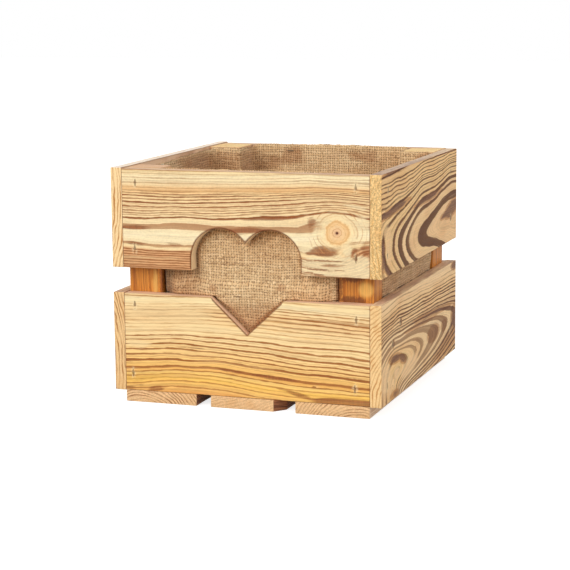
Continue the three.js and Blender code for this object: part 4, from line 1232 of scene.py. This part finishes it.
def make_wall(jute):
    """The cloth round the inside: a closed sheet with two faces, from the slats to its frayed rim."""
    points, at, total = bent_path(liner_corners(CLOTH / 2 + 0.05))
    tangent = np.roll(points, -1, 0) - np.roll(points, 1, 0)
    tangent /= np.linalg.norm(tangent, axis=1)[:, None]
    inward = np.column_stack([-tangent[:, 1], tangent[:, 0]])
    fold = BOARD_TOP + CLOTH / 2 + 0.1
    low = [*np.linspace(FLOOR_Z + 0.7, 62, 20), *np.linspace(63.5, UNDER_FOLD, 22),
           fold - 0.01, fold, fold + 0.8, fold + 2.0]
    rows, columns = len(low) + UPPER_ROWS, len(points)
    middle = np.zeros((rows, columns, 3))
    weave = np.zeros((rows, columns, 2))
    for c, ((x, y), a) in enumerate(zip(points, at)):
        top = rim_height(x, y) + 0.7 * fbm(a * 0.09, 1.7, 2.2) + 0.4 * fbm(a * 0.4, 3.1, 5.2)
        for r in range(rows):
            share = max(0, r - len(low) + 1) / UPPER_ROWS
            z = low[r] if r < len(low) else low[-1] + (top - low[-1]) * share * (0.72 + 0.28 * share)
            off = liner_offset(x, y, a, z if r != len(low) - 4 else UNDER_FOLD)
            middle[r, c] = (x + inward[c, 0] * off, y + inward[c, 1] * off, z)
            weave[r, c] = (a, z - 0.4 * min(0, off))
    normal = np.cross(np.roll(middle, -1, 1) - np.roll(middle, 1, 1), np.gradient(middle, axis=0))
    normal *= CLOTH / 2 / np.linalg.norm(normal, axis=2)[:, :, None]
    size, top = rows * columns, (rows - 1) * columns
    faces = []
    for c in range(columns):
        d = (c + 1) % columns
        for a in range(0, top, columns):
            b = a + columns
            faces.append((a + c, a + d, b + d, b + c))
            faces.append((size + a + d, size + a + c, size + b + c, size + b + d))
        faces.append((top + c, top + d, size + top + d, size + top + c))
        faces.append((d, c, size + c, size + d))
    uv = np.concatenate([weave.reshape(-1, 2)] * 2)[np.array(faces)]
    seam = np.ptp(uv[:, :, 0], axis=1) > total / 2
    uv[:, :, 0] += total * (seam[:, None] & (uv[:, :, 0] < total / 2))
    # Painted shade of each point, which the jute reads on both faces
    dark = [soot(*point) for point in middle.reshape(-1, 3)] * 2
    verts = np.concatenate([(middle + normal).reshape(-1, 3), (middle - normal).reshape(-1, 3)])
    wall = add_piece("jute_wall", verts, faces, [jute], weave=uv, soot=np.column_stack([dark] * 3))
    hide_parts("liner_wall")
    frayed = make_frayed_edge(middle, inward)


def unit(vector):
    return vector / np.linalg.norm(vector)


def make_frayed_edge(middle, inward):
    """Cut warp ends and loose fibres that stand along the cloth's upper edge."""
    rng = random.Random(12)
    verts, faces, places = [], [], []
    columns = middle.shape[1]
    for k in range(FIBRES):
        c = rng.randrange(columns)
        share = rng.random()
        row = middle[-1 - rng.choice((0, 0, 0, 1))]
        into = np.append(inward[c], 0)
        place = row[c] * (1 - share) + row[(c + 1) % columns] * share
        place = place + into * rng.uniform(-0.35, 0.35) - (0, 0, 0.3)
        lean = into * rng.uniform(-0.2, 0.7)
        side = np.array([-inward[c][1], inward[c][0], 0]) * rng.uniform(-0.8, 0.8)
        length = rng.choice((0.7, 0.9, 1.1, 1.4, 2.2))
        curl = np.array([rng.uniform(-0.6, 0.6), rng.uniform(-0.6, 0.6), rng.uniform(-0.7, 0.1)])
        heading = unit(lean + side + (0, 0, 1.0))
        width = rng.uniform(0.10, 0.2)
        first = len(verts)
        for step in range(FIBRE_STEPS + 1):
            for turn in range(3):
                angle = turn * TURN / 3 + k
                across = np.array([math.cos(angle), math.sin(angle), 0.0])
                verts.append(place + width * (1 - 0.22 * step) * across)
                places.append((c * 2.3 + turn * 0.2, 190 + step * 0.3))
            heading = unit(heading + curl * 0.3)
            place = place + heading * length / FIBRE_STEPS
        last = first + 3 * FIBRE_STEPS
        for a in range(first, last, 3):
            for i, j in ((0, 1), (1, 2), (2, 0)):
                faces.append((a + i, a + j, a + j + 3, a + i + 3))
        faces.append((first + 2, first + 1, first))
        faces.append((last, last + 1, last + 2))
    piece = add_piece("jute_frayed_edge", verts, faces, [fibre_material()], closed=False,
                      weave=np.array(places)[np.concatenate(faces)])
    return piece


def fibre_material():
    shade = Shade("jute_fibre")
    a, h = shade.uv()
    tone = shade.noise(a * 0.8, h * 0.7, 3.0, 2.0)
    colour = shade.mix(shade.step(tone, 0.3, 0.7), (176, 136, 92), (226, 196, 152))
    return shade.finish(colour, 0.9 + tone * 0.05, tone, 0.0001, 0.1)


def make_liner_floor(jute):
    """The cloth laid on the slats, cut to the way round the posts."""
    ring, _, _ = bent_path(liner_corners(1.8))
    flat, cap = filled(ring, [], 3.2, 77)
    heights = []
    for x, y in flat:
        between = min(abs(abs(x - 1.0) - 38.5) / 9.0, 1.0)
        sag = 0.8 * (1 - between) + 0.5 * max(0.0, fbm(x * 0.03, y * 0.03, 6.0))
        rise = 0.9 * max(0.0, fbm(x * 0.02, y * 0.025, 16.0))
        heights.append(FLOOR_Z + 0.75 + rise - min(sag, 0.5 if between > 0.9 else 1.2))
    count, rim = len(flat), len(ring)
    verts = [(x, y, z + side * CLOTH / 2) for side in (1, -1) for (x, y), z in zip(flat, heights)]
    faces = cap + [[count + i for i in reversed(face)] for face in cap]
    faces += [(i, (i + 1) % rim, count + (i + 1) % rim, count + i) for i in range(rim)]
    piece = add_piece("jute_floor", verts, faces, [jute],
                      weave=np.concatenate([flat, flat])[np.concatenate(faces)])
    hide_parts("liner_base")
    x, y = (ring * MM).T
    area = 0.5 * abs(np.sum(x * np.roll(y, -1) - np.roll(x, -1) * y))


# Staples, which keep their CAD shapes

def steel_material(name, dull, bright, metallic):
    shade = Shade(name)
    x, y, z = (part * 1000.0 for part in shade.split(shade.node("TexCoord", output="Object")))
    scratch = shade.noise(x * 1.6, y * 1.6, z * 1.6, 4.0, 0.7)
    rust = shade.step(shade.noise(x * 0.7, y * 0.7, z * 0.7, 3.0), 0.54, 0.7)
    colour = shade.mix(scratch, dull, bright)
    colour = shade.mix(rust * 0.5, colour, (116, 84, 54))
    return shade.finish(colour, shade.step(scratch, 0.3, 0.7, 0.34, 0.6), scratch, 0.00005, Metallic=metallic)


def make_staples():
    # One steel in two copies: the dark one paints shade onto most staples, the bright one paints a highlight
    # onto the staple that holds the liner's left side.
    shaded_steel = steel_material("staple_steel_shaded", (88, 68, 46), (146, 122, 92), 0.25)
    lit_steel = steel_material("staple_steel", (222, 212, 188), (250, 242, 222), 0.5)
    for name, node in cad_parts.items():
        if name.startswith("staple_"):
            node.data.materials.clear()
            node.data.materials.append(lit_steel if name == "staple_liner_left" else shaded_steel)


# Floor, light and camera

FLOOR_HALF, FLOOR_GLOW, ROOM_LIGHT = 6, 0.78, 0.62


def make_stage():
    """A floor that looks white and keeps the crate's shadow."""
    floor = bpy.data.objects.new("floor", bpy.data.meshes.new("floor"))
    corners = rectangle(-FLOOR_HALF, FLOOR_HALF, -FLOOR_HALF, FLOOR_HALF)
    floor.data.from_pydata([(x, y, 0) for x, y in corners], [], [(0, 1, 2, 3)])
    bpy.context.scene.collection.objects.link(floor)
    floor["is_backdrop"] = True
    shade = Shade("white_floor")
    matt = shade.node("BsdfDiffuse", (0.5, 0.495, 0.49, 1))
    bright = shade.node("AddShader", matt, shade.node("Emission", (1, 1, 1, 1), FLOOR_GLOW))
    shade.node("OutputMaterial", shade.node("MixShader", shade.in_view(), matt, bright))
    floor.data.materials.append(shade.owner)


def make_world():
    """Soft light from all round, and white where a ray looks past the crate."""
    shade = Shade("studio", "worlds")
    room = shade.node("Background", (1, 0.985, 0.96, 1), ROOM_LIGHT)
    white = shade.node("Background", (1, 1, 1, 1), 1.0)
    shade.node("OutputWorld", shade.node("MixShader", shade.in_view(), room, white))
    bpy.context.scene.world = shade.owner


def add_sun(name, towards, strength, softness, colour):
    light = bpy.data.lights.new(name, "SUN")
    light.energy = strength
    light.angle = math.radians(softness)
    light.color = colour
    lamp = bpy.data.objects.new(name, light)
    lamp.rotation_mode = "QUATERNION"
    lamp.rotation_quaternion = Vector(towards).to_track_quat("-Z", "Y")
    bpy.context.scene.collection.objects.link(lamp)


def make_lights():
    add_sun("key", (0.42, 0.8, -0.52), 1.72, 36, (1.0, 0.985, 0.96))
    add_sun("fill", (-0.8, 0.3, -0.45), 0.7, 50, (1.0, 0.99, 0.975))


# The photograph's camera, fitted to the corners of the boards: degrees, millimetres of lens and metres
AZIMUTH, ELEVATION, ROLL = 19.46, 9.82, -0.51
LENS, DISTANCE = 111.87, 1.5983
LEFT, DOWN, AIM_HEIGHT = 0.0070, 0.0232, 0.110


def make_camera():
    azimuth, elevation, roll = (math.radians(x) for x in (AZIMUTH, ELEVATION, ROLL))
    back = Vector((math.sin(azimuth) * math.cos(elevation), -math.cos(azimuth) * math.cos(elevation),
                   math.sin(elevation)))
    flat = Vector((math.cos(azimuth), math.sin(azimuth), 0))
    upright = back.cross(flat)
    right = flat * math.cos(roll) + upright * math.sin(roll)
    up = upright * math.cos(roll) - flat * math.sin(roll)
    camera = bpy.data.objects.new("camera", bpy.data.cameras.new("camera"))
    camera.data.sensor_width = 36
    camera.data.lens = LENS
    camera.data.clip_start = 0.05
    place = back * DISTANCE - right * LEFT - up * DOWN + Vector((0, 0, AIM_HEIGHT))
    turn = Matrix((right, up, back)).transposed().to_4x4()
    camera.matrix_world = Matrix.Translation(place) @ turn
    bpy.context.scene.collection.objects.link(camera)
    bpy.context.scene.camera = camera


bpy.context.scene.view_settings.view_transform = "Standard"
make_camera()
make_stage()
make_world()
make_lights()
torn_wood = nick_material()
make_boards(torn_wood)
make_posts(torn_wood)
make_slats(torn_wood)
jute_weave = jute_material()
make_wall(jute_weave)
make_liner_floor(jute_weave)
make_staples()

low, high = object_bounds()
